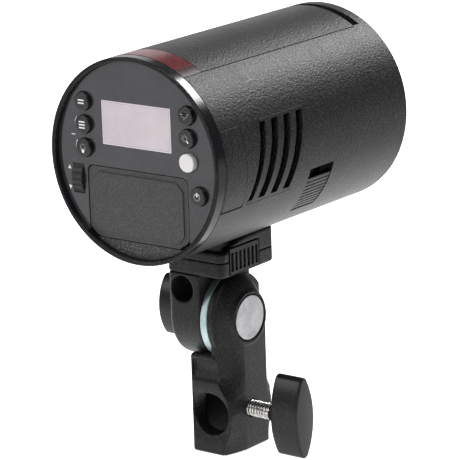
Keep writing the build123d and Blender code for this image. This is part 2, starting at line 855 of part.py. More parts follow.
def tilt_bolt():
    """Bolt through block, disc and arm, with its nut under the cap."""
    shape = cylinder_x(bolt_radius, tilt_knob_x[0] - 7, arm_face - 1.2)
    nut = cylinder_x(bolt_head_radius, arm_face - 3.6, arm_face - 1.2)
    return shape + nut


def tilt_cap():
    disc = cylinder_x(cap_radius, arm_face - cap_recess, arm_face + cap_dome)
    return fillet(disc.edges().filter_by(GeomType.CIRCLE).group_by(Axis.X)[-1], 0.3)


# ---------------------------------------------------------------- bracket, in the tilt frame
def arm():
    """Flat arm with a round top and heavily rounded outer edges."""
    x0 = arm_inner + inner_boss_height
    rear = block_rear + arm_setback
    middle = (rear + block_front) / 2
    half = (block_front - rear) / 2
    side = Plane(origin=(x0, 0, 0), x_dir=(0, 1, 0), z_dir=(1, 0, 0))
    outline = [
        EllipticalCenterArc((middle, 0), half, arm_top, start_angle=0, arc_size=180),
        Polyline([(rear, 0), (rear, -tilt_height), (block_front, -tilt_height), (block_front, 0)]),
    ]
    shape = extrude(side * make_face(outline), amount=arm_face - x0, dir=(1, 0, 0))
    face = shape.faces().sort_by(Axis.X)[-1]
    edges = face.edges().filter_by(lambda edge: edge.center().Z > -tilt_height + 0.5)
    shape = fillet(edges, min(arm_edge, arm_face - arm_inner - inner_boss_height - 0.2))
    return shape + cylinder_x(inner_boss_radius, arm_inner, arm_inner + inner_boss_height + 1)


def bracket_body():
    """Casting: arm, lower block, vertical socket and cross socket."""
    block = box((block_left, arm_face - 1.1), (block_rear, block_front), (-tilt_height, block_top))
    boss = cylinder_z(socket_radius + socket_wall, -tilt_height, block_top - 6)
    block = block + (boss & box((-40, arm_face - 1.0), (-40, 40), (-80, 0)))
    block -= cylinder_x(relief, -40, arm_inner + inner_boss_height)
    block -= box((-40, arm_inner + inner_boss_height), (-8, 40), (-relief, 0))
    for top, bottom in (upper_scoop, lower_scoop):
        half = (top - bottom) / 2
        radius = (half**2 + scoop_depth**2) / (2 * scoop_depth)
        x1 = 7.4 if top == upper_scoop[0] else arm_face - 1.4
        middle = block_rear + scoop_depth - radius
        block -= cylinder_x(radius, block_left + 0.5, x1, middle, (top + bottom) / 2)
    shape = block + arm()
    shape -= cylinder_z(socket_radius, -tilt_height - 1, -tilt_height + socket_depth)
    shape -= cylinder_y(socket_radius, block_rear - 5, cross_socket_end, cross_socket_x, socket_axis_z)
    shape -= cylinder_x(screw_radius + pin_fit, 0, 40, 0, socket_axis_z)
    shape -= cylinder_x(bolt_radius + pin_fit, 0, 40)
    shape -= cylinder_x(bolt_head_radius + 0.3, arm_face - 3.7, arm_face + 5)
    return shape - cylinder_x(cap_radius + cap_groove, arm_face - cap_recess, arm_face + 5)


def stand_pad():
    x = (screw_wall_tip, screw_wall_tip + pad_length)
    return cylinder_x(pad_radius, *x, 0, socket_axis_z)


def stand_screw():
    x = (screw_wall_tip + pad_length + 0.05, stand_knob_x[0] + 6)
    return cylinder_x(screw_radius, *x, 0, socket_axis_z)


def stand_knob():
    shape = paddle(*stand_knob_x, stand_knob_half_height)
    hub_length = stand_knob_x[0] - hub_start + 0.8
    hub = Pos(hub_start + hub_length / 2, 0, 0) * Rot(0, 90, 0) * Cone(*hub_radii, hub_length)
    shape += hub
    shape -= cylinder_x(screw_radius, 0, stand_knob_x[0] + 6)
    return shape.moved(Location((0, 0, socket_axis_z)))


def main():
    os.makedirs("parts", exist_ok=True)
    head = {
        "main_shell": main_shell(), "top_cover": top_cover(), "sensor_window": sensor_window(),
        "rear_bezel": rear_bezel(), "control_panel": control_panel(), "lower_trim": lower_trim(),
        "display_window": display_window(), "display_module": display_module(),
        "control_board": control_board(), "tact_switches": tact_switches(),
        "control_dial": control_dial(), "dial_axle": dial_axle(), "dial_bracket": dial_bracket(),
        "battery_bay": battery_bay(), "battery_case": battery_case(), "battery_face": battery_face(),
        "battery_cells": battery_cells(), "battery_contacts": battery_contacts(),
        "battery_release": battery_release(), "release_spring": release_spring(),
        "port_cover": port_cover(), "port_hinge_pin": port_hinge_pin(), "port_block": port_block(),
        "usb_port": usb_port(), "sync_jack": sync_jack(),
        "vent_grille_right": vent_grille(1), "vent_grille_left": vent_grille(-1),
        "power_board": power_board(), "board_parts": board_parts(), "main_capacitor": main_capacitor(),
        "fan_frame": fan_frame(), "fan_rotor": fan_rotor(), "bulkhead": bulkhead(),
        "reflector": reflector(), "flash_tube": flash_tube(), "modelling_leds": modelling_leds(),
        "front_glass": front_glass(), "front_ring": front_ring(),
        "saddle_screws": Compound(children=saddle_screws()),
    }
    for name, place in button_places.items():
        head[name] = push_button(*place)
    for name, shape in head.items():
        save(name, shape, head_place)
    tilt = {
        "shoe_upper": shoe_upper(), "shoe_lower": shoe_lower(),
        "release_button": release_button(), "tilt_block": tilt_block(), "tilt_disc": tilt_disc(),
        "tilt_knob": tilt_knob(), "tilt_bolt": tilt_bolt(), "tilt_cap": tilt_cap(),
        "bracket_body": bracket_body(), "stand_pad": stand_pad(), "stand_screw": stand_screw(),
        "stand_knob": stand_knob(),
    }
    for name, shape in tilt.items():
        save(name, shape, tilt_place)


main()
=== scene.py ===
"""Looks of a compact battery studio strobe on its tilting stand bracket.

Lengths are in metres in the row frame: origin at the mouth of the vertical stand socket, +Z up,
+Y towards the front glass, +X to the right of somebody standing behind the control panel.
"""
from __future__ import annotations

import json
import logging
import math
from dataclasses import dataclass
from enum import Enum
from typing import Any, Sequence

import bmesh
import bpy
import numpy as np
from mathutils import Matrix, Vector

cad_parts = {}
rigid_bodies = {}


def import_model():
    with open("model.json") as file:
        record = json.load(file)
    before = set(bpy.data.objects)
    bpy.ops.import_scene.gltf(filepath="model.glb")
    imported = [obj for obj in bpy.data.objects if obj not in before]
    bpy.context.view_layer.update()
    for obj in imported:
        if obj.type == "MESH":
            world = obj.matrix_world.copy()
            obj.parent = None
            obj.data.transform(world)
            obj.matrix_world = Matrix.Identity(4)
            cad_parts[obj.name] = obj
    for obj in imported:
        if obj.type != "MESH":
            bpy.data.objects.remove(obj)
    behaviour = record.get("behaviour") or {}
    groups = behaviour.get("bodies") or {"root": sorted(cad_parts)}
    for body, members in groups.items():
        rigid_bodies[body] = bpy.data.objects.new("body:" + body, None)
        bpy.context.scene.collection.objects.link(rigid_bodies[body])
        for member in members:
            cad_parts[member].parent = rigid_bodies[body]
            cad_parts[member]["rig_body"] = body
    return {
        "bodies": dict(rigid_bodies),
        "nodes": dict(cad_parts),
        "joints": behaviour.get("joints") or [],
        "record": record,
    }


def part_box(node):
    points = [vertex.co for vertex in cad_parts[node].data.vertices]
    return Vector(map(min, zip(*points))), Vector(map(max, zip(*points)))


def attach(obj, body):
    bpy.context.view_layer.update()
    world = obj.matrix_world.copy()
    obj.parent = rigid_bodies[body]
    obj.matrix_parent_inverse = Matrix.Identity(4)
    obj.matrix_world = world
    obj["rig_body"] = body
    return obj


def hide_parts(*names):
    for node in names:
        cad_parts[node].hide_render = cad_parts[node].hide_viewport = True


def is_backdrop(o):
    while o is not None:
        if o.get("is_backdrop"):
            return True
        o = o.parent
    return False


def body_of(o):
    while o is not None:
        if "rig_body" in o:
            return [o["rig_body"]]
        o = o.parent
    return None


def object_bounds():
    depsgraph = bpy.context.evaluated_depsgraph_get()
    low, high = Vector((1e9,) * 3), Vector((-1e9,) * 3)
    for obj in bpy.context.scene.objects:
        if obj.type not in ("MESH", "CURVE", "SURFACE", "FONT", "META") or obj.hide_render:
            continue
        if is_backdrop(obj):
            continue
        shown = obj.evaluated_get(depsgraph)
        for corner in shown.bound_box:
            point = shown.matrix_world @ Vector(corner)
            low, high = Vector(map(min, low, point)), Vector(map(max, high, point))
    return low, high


log = logging.getLogger("strobe")
MM = 0.001
AXIS = (0.0, -46.6, 118.2)      # lamp axis at the panel face, in millimetres
TILT_Z = 50.5                   # tilt axis above the origin, in millimetres
Flat = tuple[float, float]
Point3 = tuple[float, float, float]
Colour = tuple[float, float, float]


class Link(Enum):
    """The body that a made piece rides on."""

    HEAD = "head"
    CLAMP = "stand_clamp_knob"
    BRACKET = "bracket"
    TILT = "tilt_head"
    TILT_LOCK = "tilt_lock"


def head(x: float, y: float, z: float) -> Vector:
    """A point given in the head's own millimetres, in the row frame in metres."""
    return Vector((x + AXIS[0], y + AXIS[1], z + AXIS[2])) * MM


# ------------------------------------------------------------------ node helpers
class NodeTree:
    """Short calls for adding and linking the nodes of one tree."""

    tree: Any

    def wire(self, source: Any, target: Any) -> None:
        """Link one socket to another."""
        self.tree.links.new(source, target)

    def node(self, kind: str, inputs: dict[Any, Any] | None = None, **settings: Any) -> Any:
        """Add a node.

        Args:
            kind: Type name of the node.
            inputs: Values or sockets for its inputs, by name or number.
            settings: Properties of the node.

        Returns:
            The node.
        """
        made = self.tree.nodes.new(kind)
        for key, value in settings.items():
            setattr(made, key, value)
        for key, value in (inputs or {}).items():
            if isinstance(value, bpy.types.NodeSocket):
                self.wire(value, made.inputs[key])
            else:
                made.inputs[key].default_value = value
        return made

    def sums(self, operation: str, a: Any, b: Any = 0.0) -> Any:
        """Arithmetic on two sockets or numbers."""
        return self.node("ShaderNodeMath", {0: a, 1: b}, operation=operation).outputs[0]


class Shading(NodeTree):
    """Node tree of one material, with the patterns that the finishes share."""

    def __init__(self, name: str) -> None:
        """Start an empty material that ends in a Principled shader.

        Args:
            name: Name of the material.
        """
        self.material = bpy.data.materials.new(name)
        self.material.use_nodes = True
        self.tree = self.material.node_tree
        self.tree.nodes.clear()
        output = self.node("ShaderNodeOutputMaterial")
        self.shader = self.node("ShaderNodeBsdfPrincipled")
        self.wire(self.shader.outputs[0], output.inputs["Surface"])
        self.place = self.node("ShaderNodeTexCoord").outputs["Object"]

    def noise(self, size: float, detail: float = 2.0, stretch: Sequence[float] = (1, 1, 1)) -> Any:
        """Noise whose features are about size metres wide."""
        place = self.node("ShaderNodeMapping", {"Vector": self.place, "Scale": tuple(stretch)}).outputs[0]
        return self.node("ShaderNodeTexNoise", {"Vector": place, "Scale": 1 / size, "Detail": detail,
                                                "Roughness": 0.6}).outputs[0]

    def cells(self, size: float) -> Any:
        """Cell pattern with cells about size metres wide."""
        return self.node("ShaderNodeTexVoronoi", {"Vector": self.place, "Scale": 1 / size}).outputs[0]

    def ramp(self, factor: Any, stops: Sequence[tuple[float, Colour]]) -> Any:
        """Colours along a factor.

        Args:
            factor: Socket of the factor.
            stops: Position and colour of each stop.

        Returns:
            The colour socket.
        """
        node = self.node("ShaderNodeValToRGB", {0: factor})
        elements = node.color_ramp.elements
        while len(elements) < len(stops):
            elements.new(0.5)
        for element, (position, colour) in zip(elements, stops):
            element.position = position
            element.color = (*colour, 1.0)
        return node.outputs[0]

    def span(self, factor: Any, start: float, end: float, low: float, high: float) -> Any:
        """Map a factor from start..end to low..high, clamped."""
        return self.node("ShaderNodeMapRange", {0: factor, 1: start, 2: end, 3: low, 4: high}).outputs[0]

    def mix(self, factor: Any, a: Any, b: Any) -> Any:
        """Mix two colours or colour sockets."""
        node = self.node("ShaderNodeMix", data_type="RGBA")
        for key, value in ((0, factor), (6, a), (7, b)):
            if isinstance(value, bpy.types.NodeSocket):
                self.wire(value, node.inputs[key])
            else:
                node.inputs[key].default_value = value if key == 0 else (*value, 1.0)
        return node.outputs[2]

    def relief(self, height: Any, depth: float, strength: float = 1.0, edge: float = 0.0) -> None:
        """Bump the surface.

        Args:
            height: Socket of the height, 0 to 1.
            depth: Height of the relief in metres.
            strength: Strength of the bump.
            edge: Radius of the softened edges in metres, or 0 for none.
        """
        inputs = {"Height": height, "Distance": depth, "Strength": strength}
        if edge > 0:
            inputs["Normal"] = self.node("ShaderNodeBevel", {"Radius": edge}, samples=6).outputs[0]
        self.wire(self.node("ShaderNodeBump", inputs).outputs[0], self.shader.inputs["Normal"])

    def fix(self, **values: Any) -> None:
        """Set plain values on the shader's sockets; underscores stand for spaces."""
        for key, value in values.items():
            self.shader.inputs[key.replace("_", " ")].default_value = value

    def feed(self, **sockets: Any) -> None:
        """Link sockets to the shader; underscores stand for spaces."""
        for key, value in sockets.items():
            self.wire(value, self.shader.inputs[key.replace("_", " ")])


# ------------------------------------------------------------------ finishes
@dataclass(frozen=True)
class Grained:
    """Moulded or painted surface with a fine sand texture and bright specks; the specks are partly real grain and
    partly painted glints.

    Attributes:
        name: Name of the finish.
        dark: Colour of the hollows.
        light: Colour of the tops.
        glint_speck: Colour of the brightest grains, partly real grain and partly painted glints.
        grain: Width of a grain in metres.
        depth: Height of the grain in metres.
        rough: Lowest and highest roughness.
        edge: Radius of softened edges in metres.
        specular: Specular level.
    """

    name: str
    dark: Colour
    light: Colour
    glint_speck: Colour
    grain: float = 0.0004
    depth: float = 0.00005
    rough: Flat = (0.42, 0.6)
    edge: float = 0.0003
    specular: float = 0.5

    def build(self) -> bpy.types.Material:
        """Make the material."""
        shade = Shading(self.name)
        fine = shade.noise(self.grain, 3.0)
        cells = shade.cells(self.grain * 1.6)
        broad = shade.noise(0.018, 2.0)
        # The brightest grains take the speck colour: partly real grain, partly painted glints.
        tone = shade.ramp(fine, [(0.36, self.dark), (0.56, self.light), (0.7, self.glint_speck)])
        wear = shade.sums("ADD", fine, shade.sums("MULTIPLY", broad, 0.15))
        shade.feed(Base_Color=shade.mix(shade.span(broad, 0.35, 0.7, 0.0, 0.15), tone, self.dark),
                   Roughness=shade.span(wear, 0.4, 0.75, *self.rough))
        shade.fix(Specular_IOR_Level=self.specular)
        shade.relief(shade.sums("ADD", fine, shade.sums("MULTIPLY", cells, 0.6)), self.depth, 0.7, self.edge)
        return shade.material


@dataclass(frozen=True)
class Gloss:
    """Polished plastic with a faint orange peel, hairline wipes and dust.

    Attributes:
        name: Name of the finish.
        colour: Main colour.
        tint: Second colour, in soft patches.
        rough: Lowest and highest roughness.
        edge: Radius of softened edges in metres.
        coat: Weight of the clear coat.
        specular: Specular level.
    """

    name: str
    colour: Colour
    tint: Colour
    rough: Flat = (0.1, 0.2)
    edge: float = 0.0002
    coat: float = 0.3
    specular: float = 0.5

    def build(self) -> bpy.types.Material:
        """Make the material."""
        shade = Shading(self.name)
        soft = shade.noise(0.02, 2.0)
        peel = shade.noise(0.0015, 1.0)
        wipe = shade.noise(0.0006, 2.0, (0.12, 1.0, 1.0))
        dust = shade.ramp(shade.noise(0.0005, 0.0), [(0.74, (0, 0, 0)), (0.8, (1, 1, 1))])
        base = shade.ramp(soft, [(0.3, self.colour), (0.7, self.tint)])
        shade.feed(Base_Color=shade.mix(shade.sums("MULTIPLY", dust, 0.1), base, (0.35, 0.34, 0.34)),
                   Roughness=shade.span(shade.sums("ADD", soft, shade.sums("MULTIPLY", wipe, 0.6)), 0.5, 1.1,
                                        *self.rough))
        shade.fix(Coat_Weight=self.coat, Coat_Roughness=0.06, Specular_IOR_Level=self.specular)
        shade.relief(peel, 0.000004, 0.5, self.edge)
        return shade.material


class Lay(Enum):
    """Direction of the tool marks on a metal part."""

    ROUND_X = (1.0, 0.1, 0.1)
    CAST = (1.0, 1.0, 1.0)


@dataclass(frozen=True)
class Metal:
    """Plated or cast metal with tool marks and slight staining.

    Attributes:
        name: Name of the finish.
        colour: Colour of the bright metal.
        stain: Colour of the duller patches.
        lay: Direction of the marks.
        rough: Lowest and highest roughness.
        mark: Width of a mark in metres.
    """

    name: str
    colour: Colour
    stain: Colour
    lay: Lay = Lay.CAST
    rough: Flat = (0.25, 0.42)
    mark: float = 0.0004

    def build(self) -> bpy.types.Material:
        """Make the material."""
        shade = Shading(self.name)
        marks = shade.noise(self.mark, 3.0, self.lay.value)
        patches = shade.noise(0.005, 3.0)
        base = shade.ramp(patches, [(0.38, self.colour), (0.72, self.stain)])
        shade.feed(Base_Color=shade.mix(shade.span(marks, 0.4, 0.7, 0.0, 0.3), base, self.stain),
                   Roughness=shade.span(marks, 0.3, 0.7, *self.rough))
        shade.fix(Metallic=1.0)
        shade.relief(marks, 0.00001, 0.6, 0.00015)
        return shade.material


@dataclass(frozen=True)
class Clear:
    """Tinted window or glass.

    Attributes:
        name: Name of the finish.
        colour: Tint.
        deep: Darker tint in soft patches.
        clear: Share of the light let through.
        rough: Lowest and highest roughness.
        dimple: Width of the moulded dimples in metres, or 0 for plain glass.
    """

    name: str
    colour: Colour
    deep: Colour
    clear: float = 0.8
    rough: Flat = (0.04, 0.12)
    dimple: float = 0.0

    def build(self) -> bpy.types.Material:
        """Make the material."""
        shade = Shading(self.name)
        soft = shade.noise(0.006, 2.0)
        fine = shade.noise(0.0005, 2.0)
        shade.feed(Base_Color=shade.ramp(soft, [(0.35, self.colour), (0.7, self.deep)]),
                   Roughness=shade.span(fine, 0.3, 0.7, *self.rough))
        shade.fix(Transmission_Weight=self.clear, IOR=1.49, Coat_Weight=0.3, Coat_Roughness=0.05)
        if self.dimple > 0:
            shade.relief(shade.cells(self.dimple), 0.0002, 0.8)
        else:
            shade.relief(fine, 0.000003, 0.4, 0.00015)
        return shade.material


@dataclass(frozen=True)
class Screen:
    """Resting liquid-crystal panel: a pale border line round a soft grey-violet field.

    Attributes:
        name: Name of the finish.
        low: Lower left corner of the window in head millimetres.
        high: Upper right corner of the window in head millimetres.
    """

    name: str
    low: Flat
    high: Flat

    def build(self) -> bpy.types.Material:
        """Make the material."""
        shade = Shading(self.name)
        parts = shade.node("ShaderNodeSeparateXYZ", {0: shade.place})
        middle = ((self.low[0] + self.high[0]) / 2 + AXIS[0], (self.low[1] + self.high[1]) / 2 + AXIS[2])
        half = ((self.high[0] - self.low[0]) / 2, (self.high[1] - self.low[1]) / 2)
        reach = []
        for axis, centre, size in ((0, middle[0], half[0]), (2, middle[1], half[1])):
            offset = shade.sums("SUBTRACT", parts.outputs[axis], centre * MM)
            reach.append(shade.sums("SUBTRACT", size * MM, shade.sums("ABSOLUTE", offset, 0.0)))
        margin = shade.sums("MINIMUM", *reach)
        field = shade.ramp(shade.noise(0.012, 2.0), [(0.3, (0.5, 0.44, 0.475)), (0.7, (0.58, 0.52, 0.55))])
        rows = shade.node("ShaderNodeTexWave", {"Vector": shade.place, "Scale": 900.0, "Distortion": 0.0},
                          bands_direction="Z").outputs[1]
        field = shade.mix(shade.sums("MULTIPLY", rows, 0.08), field, (0.66, 0.6, 0.63))
        line = shade.ramp(shade.sums("MULTIPLY", margin, 1000.0),
                          [(0.0, (0.62, 0.56, 0.6)), (0.25, (0.7, 0.65, 0.68)), (0.4, (0.7, 0.65, 0.68)),
                           (0.55, (0.4, 0.35, 0.38)), (0.86, (0.5, 0.44, 0.48))])
        inside = shade.span(margin, 0.00075, 0.00088, 0.0, 1.0)
        shade.feed(Base_Color=shade.mix(inside, line, field),
                   Roughness=shade.span(shade.noise(0.0004, 1.0), 0.3, 0.7, 0.22, 0.34))
        shade.fix(Specular_IOR_Level=0.4, Coat_Weight=0.6, Coat_Roughness=0.05)
        shade.relief(rows, 0.000002, 0.3)
        return shade.material


@dataclass(frozen=True)
class Board:
    """Solder-masked circuit board with tracks."""

    name: str
    mask: Colour = (0.01, 0.1, 0.035)
    track: Colour = (0.02, 0.19, 0.07)

    def build(self) -> bpy.types.Material:
        """Make the material."""
        shade = Shading(self.name)
        tracks = shade.node("ShaderNodeTexBrick", {
            "Vector": shade.place, "Scale": 420.0, "Mortar Size": 0.03,
            "Color1": (1, 1, 1, 1), "Color2": (0.6, 0.6, 0.6, 1)}).outputs[1]
        shade.feed(Base_Color=shade.mix(tracks, self.mask, self.track),
                   Roughness=shade.span(shade.noise(0.002), 0.3, 0.7, 0.25, 0.4))
        shade.relief(tracks, 0.00003, 0.6)
        return shade.material


@dataclass(frozen=True)
class RedWindow:
    """Deep red sensor window with the darker sensor behind its right end.

    Attributes:
        name: Name of the finish.
        sensor: Where the sensor begins, in metres from the middle.
    """

    name: str
    sensor: float = 0.0165

    def build(self) -> bpy.types.Material:
        """Make the material."""
        shade = Shading(self.name)
        along = shade.node("ShaderNodeSeparateXYZ", {0: shade.place}).outputs[0]
        soft = shade.ramp(shade.noise(0.004, 2.0), [(0.3, (0.085, 0.008, 0.012)), (0.7, (0.13, 0.014, 0.018))])
        dark = shade.ramp(shade.noise(0.002, 2.0), [(0.3, (0.02, 0.002, 0.003)), (0.7, (0.035, 0.004, 0.005))])
        side = shade.span(along, self.sensor, self.sensor + 0.0004, 0.0, 1.0)
        shade.feed(Base_Color=shade.mix(side, soft, dark),
                   Roughness=shade.span(shade.noise(0.0006, 2.0), 0.3, 0.7, 0.24, 0.34))
        shade.fix(Coat_Weight=0.1, Coat_Roughness=0.2, Transmission_Weight=0.12, Specular_IOR_Level=0.12)
        shade.relief(shade.noise(0.0015, 1.0), 0.000004, 0.5, 0.00015)
        return shade.material


FINISHES: dict[str, Any] = {
    "shell_black": Grained("Housing paint", (0.004, 0.004, 0.0045), (0.016, 0.016, 0.017), (0.07, 0.07, 0.074),
                           0.0006, 0.00022, (0.34, 0.5), 0.0003, 0.2),
    "cover_black": Grained("Cover paint", (0.004, 0.004, 0.0045), (0.015, 0.015, 0.016), (0.09, 0.09, 0.095),
                           0.0005, 0.00018, (0.34, 0.5), 0.0003, 0.2),
    "bezel_black": Gloss("Bezel gloss", (0.006, 0.006, 0.007), (0.012, 0.012, 0.014), (0.14, 0.22),
                         0.0004, 0.0, 0.2),
    "panel_gloss": Gloss("Panel gloss", (0.02, 0.018, 0.022), (0.034, 0.03, 0.036), (0.12, 0.2), 0.00015, 0.4),
    "battery_grain": Grained("Battery grain", (0.024, 0.023, 0.023), (0.058, 0.055, 0.055), (0.12, 0.115, 0.115),
                             0.0003, 0.00003, (0.5, 0.66), 0.0003, 0.4),
    "trim_coarse": Grained("Trim grain", (0.01, 0.01, 0.01), (0.04, 0.039, 0.04), (0.2, 0.2, 0.2),
                           0.0006, 0.0001, (0.5, 0.7)),
    "button_black": Gloss("Key black", (0.01, 0.01, 0.011), (0.018, 0.018, 0.02), (0.24, 0.34), 0.0004, 0.0),
    "button_white": Gloss("Key white", (0.72, 0.71, 0.7), (0.66, 0.65, 0.64), (0.26, 0.36), 0.0004, 0.0),
    "window_red": RedWindow("Red window"),
    "display_glass": Screen("Display glass", (-15.3, 4.5), (16.0, 20.8)),
    "display_grey": Screen("Display field", (-15.3, 4.5), (16.0, 20.8)),
    "board_green": Board("Circuit board"),
    "part_dark": Grained("Inner plastic", (0.008, 0.008, 0.009), (0.02, 0.02, 0.022), (0.05, 0.05, 0.05)),
    "steel": Metal("Steel", (0.55, 0.55, 0.57), (0.32, 0.32, 0.34), Lay.ROUND_X),
    "zinc": Metal("Zinc plate", (0.5, 0.6, 0.6), (0.38, 0.48, 0.49), Lay.ROUND_X, (0.5, 0.66)),
    "cap_silver": Metal("Cap silver", (0.36, 0.36, 0.37), (0.24, 0.24, 0.25), Lay.CAST, (0.3, 0.42), 0.0002),
    "gold_contact": Metal("Contact gold", (0.9, 0.62, 0.22), (0.6, 0.4, 0.14), Lay.CAST, (0.2, 0.35)),
    "cell_blue": Gloss("Cell wrap", (0.02, 0.09, 0.3), (0.03, 0.12, 0.36), (0.25, 0.4)),
    "reflector_silver": Metal("Reflector", (0.85, 0.85, 0.87), (0.7, 0.7, 0.73), Lay.CAST, (0.18, 0.35), 0.001),
    "tube_glass": Clear("Flash tube glass", (0.95, 0.93, 0.88), (0.9, 0.87, 0.8), 0.9),
    "led_yellow": Gloss("Lamp phosphor", (0.85, 0.62, 0.1), (0.78, 0.55, 0.08), (0.3, 0.45)),
    "front_frosted": Clear("Front glass", (0.93, 0.94, 0.95), (0.88, 0.9, 0.92), 0.75, (0.28, 0.42), 0.0016),
    "cast_black": Grained("Casting paint", (0.004, 0.004, 0.0045), (0.013, 0.013, 0.014), (0.045, 0.045, 0.048),
                          0.00055, 0.00019, (0.34, 0.5), 0.0004, 0.2),
    "knob_black": Grained("Knob satin", (0.006, 0.006, 0.0065), (0.012, 0.012, 0.013), (0.03, 0.03, 0.032),
                          0.0006, 0.000012, (0.3, 0.4), 0.0004, 0.22),
    "rubber_black": Grained("Rubber", (0.007, 0.007, 0.008), (0.016, 0.016, 0.017), (0.03, 0.03, 0.03),
                            0.0003, 0.00002, (0.5, 0.7)),
    "jack_metal": Metal("Jack plate", (0.7, 0.69, 0.66), (0.45, 0.44, 0.42), Lay.CAST, (0.2, 0.35)),
}
EXTRA_FINISHES: dict[str, Any] = {
    # Near-black finish of the sheets that paint the shade inside openings of the shell: painted shade.
    "lining_black": Grained("Painted shade black", (0.001, 0.001, 0.001), (0.002, 0.002, 0.002), (0.004, 0.004, 0.004),
                         0.0006, 0.00002, (0.8, 0.95), 0.0, 0.05),
    "ink_white": Gloss("White ink", (0.85, 0.85, 0.86), (0.74, 0.74, 0.75), (0.4, 0.6), 0.0, 0.0),
}


class FinishShelf:
    """Every finish of the object, made once."""

    def __init__(self) -> None:
        """Build all materials."""
        self.made = {slot: finish.build() for slot, finish in {**FINISHES, **EXTRA_FINISHES}.items()}
        log.info("%d finishes", len(self.made))

    def dress(self, frame: dict[str, Any]) -> None:
        """Give every CAD node the finish of its material slot.

        Args:
            frame: The loaded frame.
        """
        for name, node in frame["nodes"].items():
            for slot in node.material_slots:
                key = slot.material.name.split(".")[0]
                if key not in self.made:
                    raise KeyError(f"node {name} has the unknown slot {key}")
                slot.material = self.made[key]


# ------------------------------------------------------------------ mesh helpers
def settle(piece: bpy.types.Object, link: str, slot: str, *nodes: str) -> bpy.types.Object:
    """Hand a finished piece to the frame.

    Args:
        piece: The piece, in place.
        link: Name of the body it rides on.
        slot: Material slot that its finish comes from, empty for a finish of its own; not used.
        nodes: CAD nodes that it stands for.

    Returns:
        The piece.
    """
    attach(piece, link)
    if nodes:
        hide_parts(*nodes)
    log.info("piece %s on %s, %d faces", piece.name, link, len(piece.data.polygons))
    return piece


class FlatPrint:
    """Thin printed marks on a face that looks backwards, along -Y."""

    def __init__(self, name: str, y: float, thick: float = 0.03) -> None:
        """Start an empty print.

        Args:
            name: Name of the piece.
            y: The printed face in head millimetres.
            thick: Thickness of the ink in millimetres.
        """
        self.name = name
        self.front = y - thick
        self.back = y
        self.mesh = bmesh.new()

    def patch(self, outline: Sequence[Flat]) -> None:
        """Add a convex patch given by its (x, z) corners in head millimetres."""
        front = [self.mesh.verts.new(head(x, self.front, z)) for x, z in outline]
        back = [self.mesh.verts.new(head(x, self.back, z)) for x, z in outline]
        self.mesh.faces.new(front)
        self.mesh.faces.new(list(reversed(back)))
        for i in range(len(outline)):
            j = (i + 1) % len(outline)
            self.mesh.faces.new((front[j], front[i], back[i], back[j]))

    def line(self, points: Sequence[Flat], width: float) -> None:
        """Add a line of some width through (x, z) points."""
        for (x0, z0), (x1, z1) in zip(points, points[1:]):
            run = Vector((x1 - x0, z1 - z0))
            along = run.normalized() * (width * 0.3)
            side = Vector((-run.y, run.x)).normalized() * (width / 2)
            first, last = Vector((x0, z0)) - along, Vector((x1, z1)) + along
            self.patch([tuple(first - side), tuple(last - side), tuple(last + side), tuple(first + side)])

    def arc(self, centre: Flat, radius: float, start: float, end: float, width: float, steps: int = 16) -> None:
        """Add an arc between two angles in degrees, measured from +X."""
        angles = [math.radians(start + (end - start) * i / steps) for i in range(steps + 1)]
        self.line([(centre[0] + radius * math.cos(a), centre[1] + radius * math.sin(a)) for a in angles], width)

    def finish(self, link: str, shelf: FinishShelf) -> bpy.types.Object:
        """Turn the marks into a piece.

        Args:
            link: Body that the print rides on.
            shelf: The finishes.

        Returns:
            The piece.
        """
        bmesh.ops.recalc_face_normals(self.mesh, faces=self.mesh.faces)
        data = bpy.data.meshes.new(self.name)
        self.mesh.to_mesh(data)
        self.mesh.free()
        piece = bpy.data.objects.new(self.name, data)
        bpy.context.collection.objects.link(piece)
        data.materials.append(shelf.made["ink_white"])
        return settle(piece, link, "button_white")


